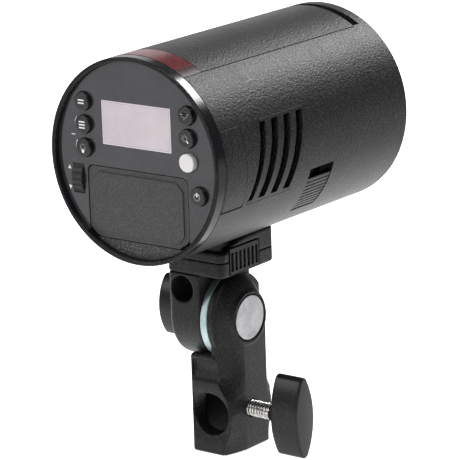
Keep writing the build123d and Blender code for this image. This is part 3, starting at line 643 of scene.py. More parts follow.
class Growth(NodeTree):
    """Geometry Nodes tree that makes one kind of repeated piece."""

    def __init__(self, name: str, sizes: dict[str, float | int]) -> None:
        """Start a tree with named inputs.

        Args:
            name: Name of the tree.
            sizes: Name and value of each input.
        """
        self.name = name
        self.sizes = sizes
        self.tree = bpy.data.node_groups.new(name, "GeometryNodeTree")
        face = self.tree.interface
        face.new_socket(name="Geometry", in_out="OUTPUT", socket_type="NodeSocketGeometry")
        for key, value in sizes.items():
            kind = "NodeSocketInt" if isinstance(value, int) else "NodeSocketFloat"
            face.new_socket(name=key, in_out="INPUT", socket_type=kind)
        face.new_socket(name="Finish", in_out="INPUT", socket_type="NodeSocketMaterial")
        self.inputs = self.node("NodeGroupInput")
        self.output = self.node("NodeGroupOutput")

    def size(self, key: str) -> Any:
        """Socket of a named input."""
        return self.inputs.outputs[key]

    def vector(self, x: Any, y: Any, z: Any) -> Any:
        """A vector from three sockets or numbers."""
        return self.node("ShaderNodeCombineXYZ", {0: x, 1: y, 2: z}).outputs[0]

    def gather(self, parts: Sequence[Any]) -> Any:
        """Join several geometries."""
        made = self.node("GeometryNodeJoinGeometry")
        for part in parts:
            self.wire(part, made.inputs[0])
        return made.outputs[0]

    def roll(self, geometry: Any, radius: Any) -> Any:
        """Roll a flat sheet round the lamp axis.

        Args:
            geometry: Socket of the sheet: X runs along the lamp axis, Y round it, Z outwards.
            radius: Socket of the radius in metres.

        Returns:
            Socket of the rolled geometry.
        """
        place = self.node("ShaderNodeSeparateXYZ", {0: self.node("GeometryNodeInputPosition").outputs[0]})
        angle = self.sums("DIVIDE", place.outputs[1], radius)
        reach = self.sums("ADD", radius, place.outputs[2])
        across = self.sums("MULTIPLY", self.sums("COSINE", angle), reach)
        rise = self.sums("MULTIPLY", self.sums("SINE", angle), reach)
        return self.node("GeometryNodeSetPosition", {
            "Geometry": geometry, "Position": self.vector(across, place.outputs[0], rise)}).outputs[0]

    def grow(self, geometry: Any, finish: bpy.types.Material, place: Matrix) -> bpy.types.Object:
        """Run the tree and turn its result into a plain mesh piece.

        Args:
            geometry: Socket of the finished geometry.
            finish: Material of the piece.
            place: Where the piece goes, in the row frame.

        Returns:
            The piece, with its place in its mesh.
        """
        real = self.node("GeometryNodeRealizeInstances", {0: geometry}).outputs[0]
        dressed = self.node("GeometryNodeSetMaterial",
                            {"Geometry": real, "Material": self.size("Finish")}).outputs[0]
        self.wire(dressed, self.output.inputs[0])
        seed = bpy.data.objects.new(self.name + "_seed", bpy.data.meshes.new(self.name + "_seed"))
        bpy.context.collection.objects.link(seed)
        modifier = seed.modifiers.new(self.name, "NODES")
        modifier.node_group = self.tree
        for item in self.tree.interface.items_tree:
            if item.in_out == "INPUT":
                modifier[item.identifier] = finish if item.name == "Finish" else self.sizes[item.name]
        bpy.context.view_layer.update()
        evaluated = seed.evaluated_get(bpy.context.evaluated_depsgraph_get())
        data = bpy.data.meshes.new_from_object(evaluated)
        bpy.data.objects.remove(seed)
        data.transform(place)
        data.name = self.name
        piece = bpy.data.objects.new(self.name, data)
        bpy.context.collection.objects.link(piece)
        return piece


def turn_outwards(piece: bpy.types.Object) -> None:
    """Make every face of a piece look outwards.

    Args:
        piece: The piece.
    """
    mesh = bmesh.new()
    mesh.from_mesh(piece.data)
    bmesh.ops.recalc_face_normals(mesh, faces=mesh.faces)
    mesh.to_mesh(piece.data)
    mesh.free()


# ------------------------------------------------------------------ castings
def join(a: np.ndarray, b: np.ndarray, r: float) -> np.ndarray:
    """Join two distance fields with a fillet of radius r in the corner."""
    return np.maximum(r, np.minimum(a, b)) - np.hypot(np.maximum(r - a, 0), np.maximum(r - b, 0))


def both(a: np.ndarray, b: np.ndarray, r: float) -> np.ndarray:
    """Keep what is in both distance fields, with the edge rounded to radius r."""
    return np.minimum(-r, np.maximum(a, b)) + np.hypot(np.maximum(r + a, 0), np.maximum(r + b, 0))


def most(*fields: np.ndarray) -> np.ndarray:
    """The largest of several fields, with sharp edges."""
    return np.maximum.reduce(np.broadcast_arrays(*fields))


@dataclass
class Casting:
    """A cast or moulded piece whose skin is where its rule is zero, in tilt-frame millimetres.

    Attributes:
        name: Name of the piece.
        low: Lowest corner of the space it is looked for in.
        high: Highest corner of that space.
        cell: Size of a mesh cell.
    """

    name: str
    low: Point3
    high: Point3
    cell: float = 0.42

    def rule(self, x: np.ndarray, y: np.ndarray, z: np.ndarray) -> np.ndarray:
        """Distance from the skin, below zero inside."""
        raise NotImplementedError

    def net(self) -> tuple[np.ndarray, np.ndarray]:
        """Lay a net of quads on the skin.

        Returns:
            Vertices in millimetres and the corners of the quads.
        """
        low = np.array(self.low)
        count = np.ceil((np.array(self.high) - low) / self.cell).astype(int) + 1
        axes = [low[i] + self.cell * np.arange(count[i]) for i in range(3)]
        field = self.rule(*np.meshgrid(*axes, indexing="ij"))
        inside = field < 0
        shape = tuple(n - 1 for n in field.shape)
        total = np.zeros(shape + (3,))
        hits = np.zeros(shape)
        for axis in range(3):
            others = [i for i in range(3) if i != axis]
            for du in (0, 1):
                for dv in (0, 1):
                    start = [0, 0, 0]
                    start[others[0]], start[others[1]] = du, dv
                    first = tuple(slice(start[i], start[i] + shape[i]) for i in range(3))
                    step = list(start)
                    step[axis] = 1
                    second = tuple(slice(step[i], step[i] + shape[i]) for i in range(3))
                    a, b = field[first], field[second]
                    cross = (a < 0) != (b < 0)
                    share = np.where(cross, a / np.where(cross, a - b, 1), 0)
                    for i in range(3):
                        total[..., i] += np.where(cross, share if i == axis else start[i], 0)
                    hits += cross
        used = hits > 0
        number = np.full(shape, -1)
        number[used] = np.arange(used.sum())
        corner = np.stack(np.nonzero(used), axis=1)
        points = low + self.cell * (corner + total[used] / hits[used][:, None])
        quads = []
        for axis in range(3):
            u, v = (axis + 1) % 3, (axis + 2) % 3
            near = [slice(None)] * 3
            far = [slice(None)] * 3
            near[axis], far[axis] = slice(0, -1), slice(1, None)
            a, b = inside[tuple(near)], inside[tuple(far)]
            at = np.stack(np.nonzero(a != b), axis=1)
            at = at[(at[:, u] > 0) & (at[:, v] > 0) & (at[:, u] < shape[u]) & (at[:, v] < shape[v])]
            ring = []
            for du, dv in ((-1, -1), (0, -1), (0, 0), (-1, 0)):
                cell = at.copy()
                cell[:, u] += du
                cell[:, v] += dv
                ring.append(number[tuple(cell.T)])
            quad = np.stack(ring, axis=1)
            flip = ~a[tuple(at.T)]
            quad[flip] = quad[flip][:, ::-1]
            quads.append(quad)
        return self.settle_on_skin(points), np.concatenate(quads)

    def settle_on_skin(self, points: np.ndarray) -> np.ndarray:
        """Move net points onto the skin along its slope.

        Args:
            points: Points near the skin.

        Returns:
            Points on the skin.
        """
        for _ in range(3):
            gap = 0.04
            value = self.rule(*points.T)
            slope = np.stack([(self.rule(*(points + shift).T) - self.rule(*(points - shift).T)) / (2 * gap)
                              for shift in np.eye(3) * gap], axis=1)
            size = np.maximum((slope**2).sum(axis=1), 0.2)
            move = -(value / size)[:, None] * slope
            length = np.linalg.norm(move, axis=1)[:, None]
            points = points + move * np.minimum(1, 0.4 * self.cell / np.maximum(length, 1e-9))
        return points

    def build(self, shelf: "FinishShelf", slot: str, link: Link, *nodes: str) -> bpy.types.Object:
        """Make the piece and stand it in for its CAD nodes.

        Args:
            shelf: The finishes.
            slot: Material slot of its finish.
            link: Body that it rides on.
            nodes: CAD nodes that it stands for.

        Returns:
            The piece.
        """
        points, quads = self.net()
        data = bpy.data.meshes.new(self.name)
        data.from_pydata(((points + (0, 0, TILT_Z)) * MM).tolist(), [], quads.tolist())
        data.validate()
        data.shade_smooth()
        data.materials.append(shelf.made[slot])
        piece = bpy.data.objects.new(self.name, data)
        bpy.context.collection.objects.link(piece)
        return settle(piece, link.value, slot, *nodes)


@dataclass
class BracketCasting(Casting):
    """Stand bracket: rounded arm with a domed eye, lower block with two thumb scoops and its sockets.

    Attributes:
        face: Outer face of the arm, along X.
        half: Half the width of the arm.
        middle: Middle of the arm, along Y.
        top: Top of the eye.
        inner: Inner side of the arm next to the friction disc.
        shelf: Inner side of the arm below the disc.
        ring: Radius of the arm's rim round the disc.
        relief: Radius cleared for the tilt block.
        rear: Rear face of the lower block.
        left: Left face of the lower block.
        bottom: Underside.
        scoops: Top, foot and depth of each thumb scoop.
        boss: Radius of the boss round the upright socket.
        socket: Radius of both stand sockets.
        cross: Axis of the cross socket, along X and Z.
        bolt: Radius of the bore for the tilt bolt.
        screw: Radius of the bore for the clamp screw.
        cap: Radius and floor of the recess for the cap.
    """

    name: str = "bracket_casting"
    low: Point3 = (-13.0, -17.2, -51.6)
    high: Point3 = (13.6, 13.2, 18.0)
    face: float = 12.5
    half: float = 13.0
    middle: float = -1.0
    top: float = 16.8
    inner: float = 4.96
    shelf: float = 7.1
    ring: float = 16.3
    relief: float = 17.3
    rear: float = -14.8
    left: float = -4.9
    bottom: float = -50.5
    scoops: tuple[Point3, Point3] = ((-13.9, -22.8, 2.1), (-26.0, -45.6, 1.5))
    boss: float = 11.7
    socket: float = 8.1
    cross: Flat = (3.8, -35.2)
    bolt: float = 3.05
    screw: float = 3.3
    cap: Flat = (8.9, 11.55)

    def crease(self, z: np.ndarray) -> np.ndarray:
        """Where the rounded back of the arm begins, along X, at each height."""
        return np.interp(z, [-50.5, -46, -42, -35.2, -29.5, -25.5, -21, -17, -13.5, -9, 18],
                         [9.4, 10.6, 12.0, 12.4, 11.8, 9.6, 7.5, 6.9, 6.4, 5.3, 5.3])

    def arm(self, x: np.ndarray, y: np.ndarray, z: np.ndarray) -> np.ndarray:
        """The arm with its eye."""
        along = y - self.middle
        side = np.where(z > 0, (np.sqrt((along / self.half) ** 2 + (z / self.top) ** 2) - 1) * self.half,
                        np.abs(along) - self.half)
        turn = np.arctan2(np.maximum(z, 0), along)
        width = np.interp(turn, [0, math.pi / 2, math.pi], [2.6, 7.5, 10.0])
        limit = np.where(along > 0, np.interp(z, [-20, 0], [2.6, 7.0]), 99.0)
        drop = np.minimum(self.face - self.crease(z), limit)
        part = 1 - np.clip(-side / width, 0, 1)
        bevel = np.interp(z, [-22, -6], [0.5, 0.05])
        skin = self.face - drop * ((1 - bevel) * (1 - np.sqrt(np.maximum(1 - part**2, 0))) + bevel * part)
        inner = np.interp(z, [-15.5, -13.0], [self.shelf, self.inner])
        ring = most(np.hypot(y, z) - self.ring, self.inner - x, x - self.shelf - 0.3)
        return np.minimum(most(side, (x - skin) * 0.8, inner - x, self.bottom - z), ring)

    def block(self, x: np.ndarray, y: np.ndarray, z: np.ndarray) -> np.ndarray:
        """The lower block with its scoops and the boss of the vertical socket."""
        body = both(self.left - x, self.rear - y, 1.5)
        body = both(body, z + 12.4, 1.6)
        body = both(body, x - self.crease(z) - 0.15, 0.35)
        body = most(body, y - 12.0)
        for top, foot, depth in self.scoops:
            half = (top - foot) / 2
            bow = (half**2 + depth**2) / (2 * depth)
            groove = np.hypot(y - (self.rear + depth - bow), z - (top + foot) / 2) - bow
            body = both(body, -most(groove, self.left + 0.7 - x), 0.3)
        boss = most(np.hypot(x, y) - self.boss, z + 18.4)
        body = join(body, boss, 1.5)
        body = most(body, -most(np.hypot(y, z) - self.relief, x - self.shelf))
        body = most(body, -most(x - self.shelf, -8.0 - y, -self.relief - z))
        return both(body, self.bottom - z, 0.7)

    def rule(self, x: np.ndarray, y: np.ndarray, z: np.ndarray) -> np.ndarray:
        """Distance from the skin."""
        collar = most(np.hypot(y, z) - 9.5, x - self.face, 6.0 - x)
        body = np.minimum(join(self.arm(x, y, z), collar, 1.6), self.block(x, y, z))
        body = both(body, -most(np.hypot(x, y) - self.socket, z + 21.5), 0.4)
        cross_x, cross_z = self.cross
        body = both(body, -most(np.hypot(x - cross_x, z - cross_z) - self.socket, y + 4.0), 0.25)
        body = both(body, -most(np.hypot(y, z - cross_z) - self.screw, -x), 0.25)
        body = both(body, -most(np.hypot(y, z) - self.cap[0], self.cap[1] - x), 0.25)
        return most(body, -(np.hypot(y, z) - self.bolt))


@dataclass
class TiltBlockCasting(Casting):
    """Round-bottomed block of the tilt joint with the umbrella bore.

    Attributes:
        radius: Radius of its round underside.
        back: Rear face.
        sides: Left and right face, along X.
        top: Its top, under the shoe.
        umbrella: Axis of the umbrella bore, along X and Z, and its radius.
        bolt: Radius of the bore for the tilt bolt.
    """

    name: str = "tilt_block_casting"
    low: Point3 = (-13.4, -17.4, -17.4)
    high: Point3 = (2.8, 17.4, 19.0)
    radius: float = 16.4
    back: float = 15.2
    sides: Flat = (-12.4, 1.88)
    top: float = 18.08
    umbrella: Point3 = (-5.9, 12.25, 5.0)
    bolt: float = 3.05

    def rule(self, x: np.ndarray, y: np.ndarray, z: np.ndarray) -> np.ndarray:
        """Distance from the skin."""
        side = np.where(z > 0, np.abs(y) - self.radius, np.hypot(y, z) - self.radius)
        body = both(most(side, y - self.back), self.sides[0] - x, 2.2)
        body = both(body, x - self.sides[1], 0.7)
        body = most(body, z - self.top)
        bore_x, bore_z, bore_radius = self.umbrella
        body = both(body, -(np.hypot(x - bore_x, z - bore_z) - bore_radius), 0.5)
        return most(body, -(np.hypot(y, z) - self.bolt))


@dataclass
class ShoeCasting(Casting):
    """One half of the quick-release shoe.

    Attributes:
        floor: Underside of this half.
        upper: Whether this is the half under the head.
        size: Half its width and half its length.
        split: Top of the lower half.
        body: Radius of the head and height of its axis.
        foot: Half the width and half the length of the foot.
        pocket_y: Ends of the pocket for the release button.
        pocket_z: Bottom and top of that pocket.
    """

    low: Point3 = (-14.0, -17.4, 17.2)
    high: Point3 = (14.0, 17.4, 33.2)
    cell: float = 0.36
    floor: float = 18.1
    upper: bool = False
    size: Flat = (13.0, 16.3)
    split: float = 24.0
    body: Flat = (38.04, 67.7)
    foot: Flat = (7.0, 11.0)
    pocket_y: Flat = (-11.6, 6.4)
    pocket_z: Flat = (18.75, 29.0)

    def rule(self, x: np.ndarray, y: np.ndarray, z: np.ndarray) -> np.ndarray:
        """Distance from the skin."""
        body = both(np.abs(x) - self.size[0], np.abs(y) - self.size[1], 2.6)
        if self.upper:
            arch = np.interp(y, [-17, -13.2, -11.2, -9.0, -6.5, -3.0, 17],
                             [27.9, 27.9, 28.5, 29.8, 30.8, 31.5, 32.2])
            rim = np.clip((np.abs(x) - 8.5) / 2.0, 0, 1)
            body = both(body, (z - (27.9 + (arch - 27.9) * rim)) * 0.9, 1.1)
            saddle = both(np.abs(x) - 10.6, np.abs(y) - 14.6, 1.5)
            body = join(body, most(saddle, z - 32.5), 0.5)
            body = most(body, self.floor - z, self.body[0] - np.hypot(x, z - self.body[1]))
            foot = most(np.abs(x) - self.foot[0], np.abs(y) - self.foot[1], 21.4 - z, z - 26.0)
            body = np.minimum(body, foot)
        else:
            body = both(body, self.floor - z, 1.1)
            body = most(body, z - self.split)
            room = most(np.abs(x) - self.foot[0] - 0.3, np.abs(y) - self.foot[1] - 0.3, 21.1 - z)
            body = most(body, -room)
        (start, end), (low, high) = self.pocket_y, self.pocket_z
        pocket = most(9.1 - x, start - y, y - end, low - z, z - high)
        return both(body, -pocket, 0.5)


@dataclass
class KnobCasting(Casting):
    """Lens-shaped paddle knob on a short hub.

    Attributes:
        near: Inner face of the paddle, as a distance along its axis.
        far: Outer face of the paddle.
        tall: Half the height of the paddle.
        wide: Half the width in the middle.
        tip: Half the width at the ends.
        hub: Where the hub begins.
        turn: 1 where the knob points to +X, -1 to -X.
        level: Height of its axis.
    """

    cell: float = 0.4
    near: float = 24.7
    far: float = 37.0
    tall: float = 15.65
    wide: float = 5.65
    tip: float = 1.3
    hub: float = 22.1
    turn: float = 1.0
    level: float = 0.0

    def rule(self, x: np.ndarray, y: np.ndarray, z: np.ndarray) -> np.ndarray:
        """Distance from the skin."""
        u = x * self.turn
        w = z - self.level
        bow = ((self.wide - self.tip) ** 2 + self.tall**2) / (2 * (self.wide - self.tip))
        body = both(np.hypot(y + bow - self.wide, w) - bow, np.hypot(y - bow + self.wide, w) - bow, 0.9)
        body = both(body, np.abs(w) - self.tall, 1.3)
        dome = self.far - 0.5 * (w / self.tall) ** 2 - 0.3 * (y / self.wide) ** 2
        body = both(body, u - dome, 0.7)
        body = both(body, self.near - u, 0.9)
        hub = most(np.hypot(y, w) - (3.4 + (u - self.hub) * 0.42), self.hub - u, u - self.near - 1.0)
        return join(body, hub, 0.7)


# ------------------------------------------------------------------ sub-assemblies
@dataclass
class ControlFace:
    """Printed marks on the control panel and on its keys.

    Attributes:
        key_face: Outer face of the keys, in head millimetres along Y.
        stroke: Width of a printed line in millimetres.
    """

    key_face: float = -1.8
    stroke: float = 0.5

    def bulb(self, ink: FlatPrint, x: float, z: float) -> None:
        """Lamp sign: a ring on a short foot."""
        ink.arc((x, z + 0.35), 0.95, -60, 240, self.stroke)
        ink.line([(x - 0.45, z - 0.9), (x + 0.45, z - 0.9)], self.stroke)
        ink.line([(x - 0.3, z - 1.45), (x + 0.3, z - 1.45)], self.stroke)

    def bars(self, ink: FlatPrint, x: float, z: float, count: int) -> None:
        """List sign: short bars above each other."""
        for index in range(count):
            level = z + (index - (count - 1) / 2) * 1.1
            ink.line([(x - 1.2, level), (x + 1.2, level)], self.stroke)

    def power(self, ink: FlatPrint, x: float, z: float) -> None:
        """Power sign: an open ring with a stroke at the top."""
        ink.arc((x, z), 1.15, 125, 415, self.stroke)
        ink.line([(x, z + 0.2), (x, z + 1.5)], self.stroke)

    def zoomer(self, ink: FlatPrint, x: float, z: float) -> None:
        """Lens sign: a ring with a handle."""
        ink.arc((x - 0.2, z + 0.3), 0.85, 0, 360, self.stroke)
        ink.line([(x + 0.45, z - 0.4), (x + 1.2, z - 1.2)], self.stroke)

    def waves(self, ink: FlatPrint, x: float, z: float) -> None:
        """Radio sign: two arcs over a dot."""
        ink.arc((x, z - 0.8), 1.1, 45, 135, self.stroke)
        ink.arc((x, z - 0.8), 2.0, 50, 130, self.stroke)
        ink.arc((x, z - 0.8), 0.15, 0, 360, self.stroke, 6)

    def build(self, frame: dict[str, Any], shelf: FinishShelf) -> None:
        """Print every key and the panel."""
        signs = {
            "mode_button": lambda ink, x, z: self.bars(ink, x, z, 2),
            "menu_button": lambda ink, x, z: self.bars(ink, x, z, 3),
            "lamp_button": self.bulb,
            "channel_button": self.waves,
            "zoom_button": self.zoomer,
            "power_button": self.power,
        }
        bodies = {node: body for body, facts in node_bodies(frame).items() for node in facts}
        for node, sign in signs.items():
            low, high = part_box(node)
            middle = (low + high) / 2 / MM
            ink = FlatPrint(node.replace("button", "sign"), self.key_face)
            sign(ink, middle.x - AXIS[0], middle.z - AXIS[2])
            ink.finish(bodies[node], shelf)
        ink = FlatPrint("panel_marks", 0.0)
        for z in (11.05, 2.5):
            ink.arc((-23.1, z), 4.5, 150, 210, 0.3, 10)
        ink.line([(-28.0, 6.78), (-29.4, 6.78)], 0.3)
        for side in (1, -1):
            tip = -9.35 + side * 4.6
            ink.patch([(-31.9, tip - side * 1.5), (-30.5, tip - side * 1.5), (-31.2, tip)])
        ink.finish(Link.HEAD.value, shelf)


@dataclass
class ClampThread:
    """Threaded shank of the stand clamp.

    Attributes:
        radius: Outer radius of the thread in millimetres.
        pitch: Pitch in millimetres.
        depth: Depth of the thread in millimetres.
        ridge: Half the thickness of the thread's ridge in millimetres.
        start: End of the shank near the socket, along X.
        end: End of the shank inside the knob, along X.
        height: Height of its axis above the origin.
    """

    radius: float = 3.0
    pitch: float = 1.25
    depth: float = 0.32
    ridge: float = 0.5
    start: float = 9.85
    end: float = 30.0
    height: float = 15.3

    def build(self, shelf: FinishShelf) -> None:
        """Grow the shank and stand it in for the plain one."""
        length = self.end - self.start
        growth = Growth("clamp_thread", {"Core Radius": (self.radius - self.depth) * MM, "Length": length * MM,
                                         "Turns": length / self.pitch - 1.0, "Ridge": self.ridge * MM})
        core = growth.node("GeometryNodeMeshCylinder", {"Vertices": 48, "Radius": growth.size("Core Radius"),
                                                        "Depth": growth.size("Length")}).outputs[0]
        half = growth.sums("MULTIPLY", growth.size("Length"), 0.5)
        lifted = growth.node("GeometryNodeTransform", {"Geometry": core,
                                                       "Translation": growth.vector(0, 0, half)}).outputs[0]
        path = growth.node("GeometryNodeCurveSpiral", {
            "Resolution": 40, "Rotations": growth.size("Turns"), "Start Radius": growth.size("Core Radius"),
            "End Radius": growth.size("Core Radius"),
            "Height": growth.sums("SUBTRACT", growth.size("Length"), self.pitch * MM)}).outputs[0]
        profile = growth.node("GeometryNodeCurvePrimitiveCircle",
                              {"Resolution": 4, "Radius": growth.size("Ridge")})
        ridge = growth.node("GeometryNodeCurveToMesh", {"Curve": path, "Profile Curve": profile.outputs[0],
                                                        "Fill Caps": True}).outputs[0]
        raised = growth.node("GeometryNodeTransform", {"Geometry": ridge,
                                                       "Translation": (0, 0, self.pitch * MM / 2)}).outputs[0]
        place = Matrix.Translation((self.start * MM, 0, self.height * MM)) @ Matrix.Rotation(math.pi / 2, 4, "Y")
        piece = growth.grow(growth.gather([lifted, raised]), shelf.made["jack_metal"], place)
        settle(piece, Link.CLAMP.value, "zinc", "stand_screw")


@dataclass
class VentSheet:
    """Perforated sheet behind the slots of a side vent.

    Attributes:
        side: 1 for the right side, -1 for the left.
        radius: Radius of the sheet in millimetres.
        pitch: Distance between holes in millimetres.
        rows: Rows of holes round the axis.
        columns: Holes in a row along the axis.
        middle: Middle of the sheet, along Y and Z in head millimetres.
    """

    side: int
    radius: float = 35.4
    pitch: float = 1.8
    rows: int = 19
    columns: int = 23
    middle: Flat = (34.9, -0.6)

    def build(self, shelf: FinishShelf) -> None:
        """Grow the sheet from hexagonal cells rolled round the lamp axis."""
        name = "vent_mesh_right" if self.side > 0 else "vent_mesh_left"
        growth = Growth(name, {"Pitch": self.pitch * MM, "Columns": self.columns, "Rows": self.rows,
                               "Roll Radius": self.radius * MM})
        width = growth.sums("MULTIPLY", growth.size("Pitch"), float(self.columns - 1))
        height = growth.sums("MULTIPLY", growth.size("Pitch"), 0.866 * (self.rows - 1))
        grid = growth.node("GeometryNodeMeshGrid", {"Size X": width, "Size Y": height,
                                                    "Vertices X": growth.size("Columns"),
                                                    "Vertices Y": growth.size("Rows")}).outputs[0]
        row = growth.sums("MODULO", growth.node("GeometryNodeInputIndex").outputs[0], float(self.rows))
        odd = growth.sums("MODULO", row, 2.0)
        shift = growth.sums("MULTIPLY", odd, growth.sums("MULTIPLY", growth.size("Pitch"), 0.5))
        moved = growth.node("GeometryNodeSetPosition", {"Geometry": grid, "Offset": growth.vector(shift, 0, 0)})
        outer = growth.node("GeometryNodeCurvePrimitiveCircle",
                            {"Resolution": 6, "Radius": growth.sums("MULTIPLY", growth.size("Pitch"), 0.5)})
        bar = growth.node("GeometryNodeCurvePrimitiveCircle",
                          {"Resolution": 4, "Radius": growth.sums("MULTIPLY", growth.size("Pitch"), 0.14)})
        ring = growth.node("GeometryNodeCurveToMesh",
                           {"Curve": outer.outputs[0], "Profile Curve": bar.outputs[0]})
        turned = growth.node("GeometryNodeTransform",
                             {"Geometry": ring.outputs[0], "Rotation": (0, 0, math.pi / 6)})
        cells = growth.node("GeometryNodeInstanceOnPoints", {"Points": moved.outputs[0],
                                                             "Instance": turned.outputs[0]}).outputs[0]
        real = growth.node("GeometryNodeRealizeInstances", {0: cells}).outputs[0]
        plate = growth.node("GeometryNodeMeshCube", {"Size": growth.vector(width, height, 0.3 * MM),
                                                     "Vertices Y": growth.size("Rows")}).outputs[0]
        backed = growth.node("GeometryNodeTransform", {"Geometry": plate, "Translation": (0, 0, -0.75 * MM)})
        real = growth.gather([real, backed.outputs[0]])
        rolled = growth.roll(real, growth.size("Roll Radius"))
        turn = Matrix.Identity(4) if self.side > 0 else Matrix.Rotation(math.pi, 4, "Y")
        move = Matrix.Translation(head(0, *self.middle))
        piece = growth.grow(rolled, shelf.made["part_dark"], move @ turn)
        turn_outwards(piece)
        settle(piece, Link.HEAD.value, "part_dark")


@dataclass
class PaintedShadeSheet:
    """Thin near-black sheet on the inside of an opening in the shell: painted shade where the opening looks dark.

    Attributes:
        name: Name of the piece.
        radius: Radius of its middle in millimetres.
        angles: Its ends round the lamp axis, in degrees from +X towards +Z.
        along: Its ends along the lamp axis, in head millimetres.
        thickness: Its thickness in millimetres.
    """

    name: str
    radius: float
    angles: Flat
    along: Flat
    thickness: float = 0.16

    def build(self, shelf: FinishShelf) -> None:
        """Grow the painted-shade sheet from a slab that is rolled to the shell's curve."""
        turn = math.radians((self.angles[0] + self.angles[1]) / 2)
        width = math.radians(abs(self.angles[1] - self.angles[0])) * self.radius
        growth = Growth(self.name, {"Length": (self.along[1] - self.along[0]) * MM, "Width": width * MM,
                                    "Thickness": self.thickness * MM, "Radius": self.radius * MM, "Steps": 25})
        size = growth.vector(growth.size("Length"), growth.size("Width"), growth.size("Thickness"))
        slab = growth.node("GeometryNodeMeshCube", {"Size": size, "Vertices Y": growth.size("Steps")}).outputs[0]
        move = Matrix.Translation(head(0, (self.along[0] + self.along[1]) / 2, 0))
        # The sheet takes the near-black finish that paints shade.
        piece = growth.grow(growth.roll(slab, growth.size("Radius")), shelf.made["lining_black"],
                            move @ Matrix.Rotation(-turn, 4, "Y"))
        turn_outwards(piece)
        settle(piece, Link.HEAD.value, "")


@dataclass
class LampFront:
    """Modelling lights behind the front glass.

    Attributes:
        count: Number of lights in the ring.
        ring: Radius of the ring in millimetres.
        size: Width of one light in millimetres.
        front: Where the ring sits, in head millimetres along Y.
    """

    count: int = 12
    ring: float = 7.0
    size: float = 1.3
    front: float = 89.5

    def build(self, shelf: FinishShelf) -> None:
        """Grow the ring of small lights on the holder."""
        growth = Growth("modelling_light_ring", {"Count": self.count, "Ring Radius": self.ring * MM,
                                                 "Light Size": self.size * MM})
        points = growth.node("GeometryNodeMeshCircle", {"Vertices": growth.size("Count"),
                                                        "Radius": growth.size("Ring Radius")}).outputs[0]
        size = growth.size("Light Size")
        dome = growth.node("GeometryNodeMeshUVSphere", {"Segments": 16, "Rings": 8,
                                                        "Radius": growth.sums("MULTIPLY", size, 0.5)}).outputs[0]
        lights = growth.node("GeometryNodeInstanceOnPoints", {"Points": points, "Instance": dome}).outputs[0]
        place = Matrix.Translation(head(0, self.front, 0)) @ Matrix.Rotation(math.pi / 2, 4, "X")
        settle(growth.grow(lights, shelf.made["led_yellow"], place), Link.HEAD.value, "led_yellow")


def node_bodies(frame: dict[str, Any]) -> dict[str, list[str]]:
    """The CAD nodes on each body.

    Args:
        frame: The loaded frame.

    Returns:
        Node names for each body name.
    """
    bodies: dict[str, list[str]] = {name: [] for name in frame["bodies"]}
    for name, node in frame["nodes"].items():
        carrier = body_of(node)
        if carrier:
            bodies[carrier[0]].append(name)
    return bodies


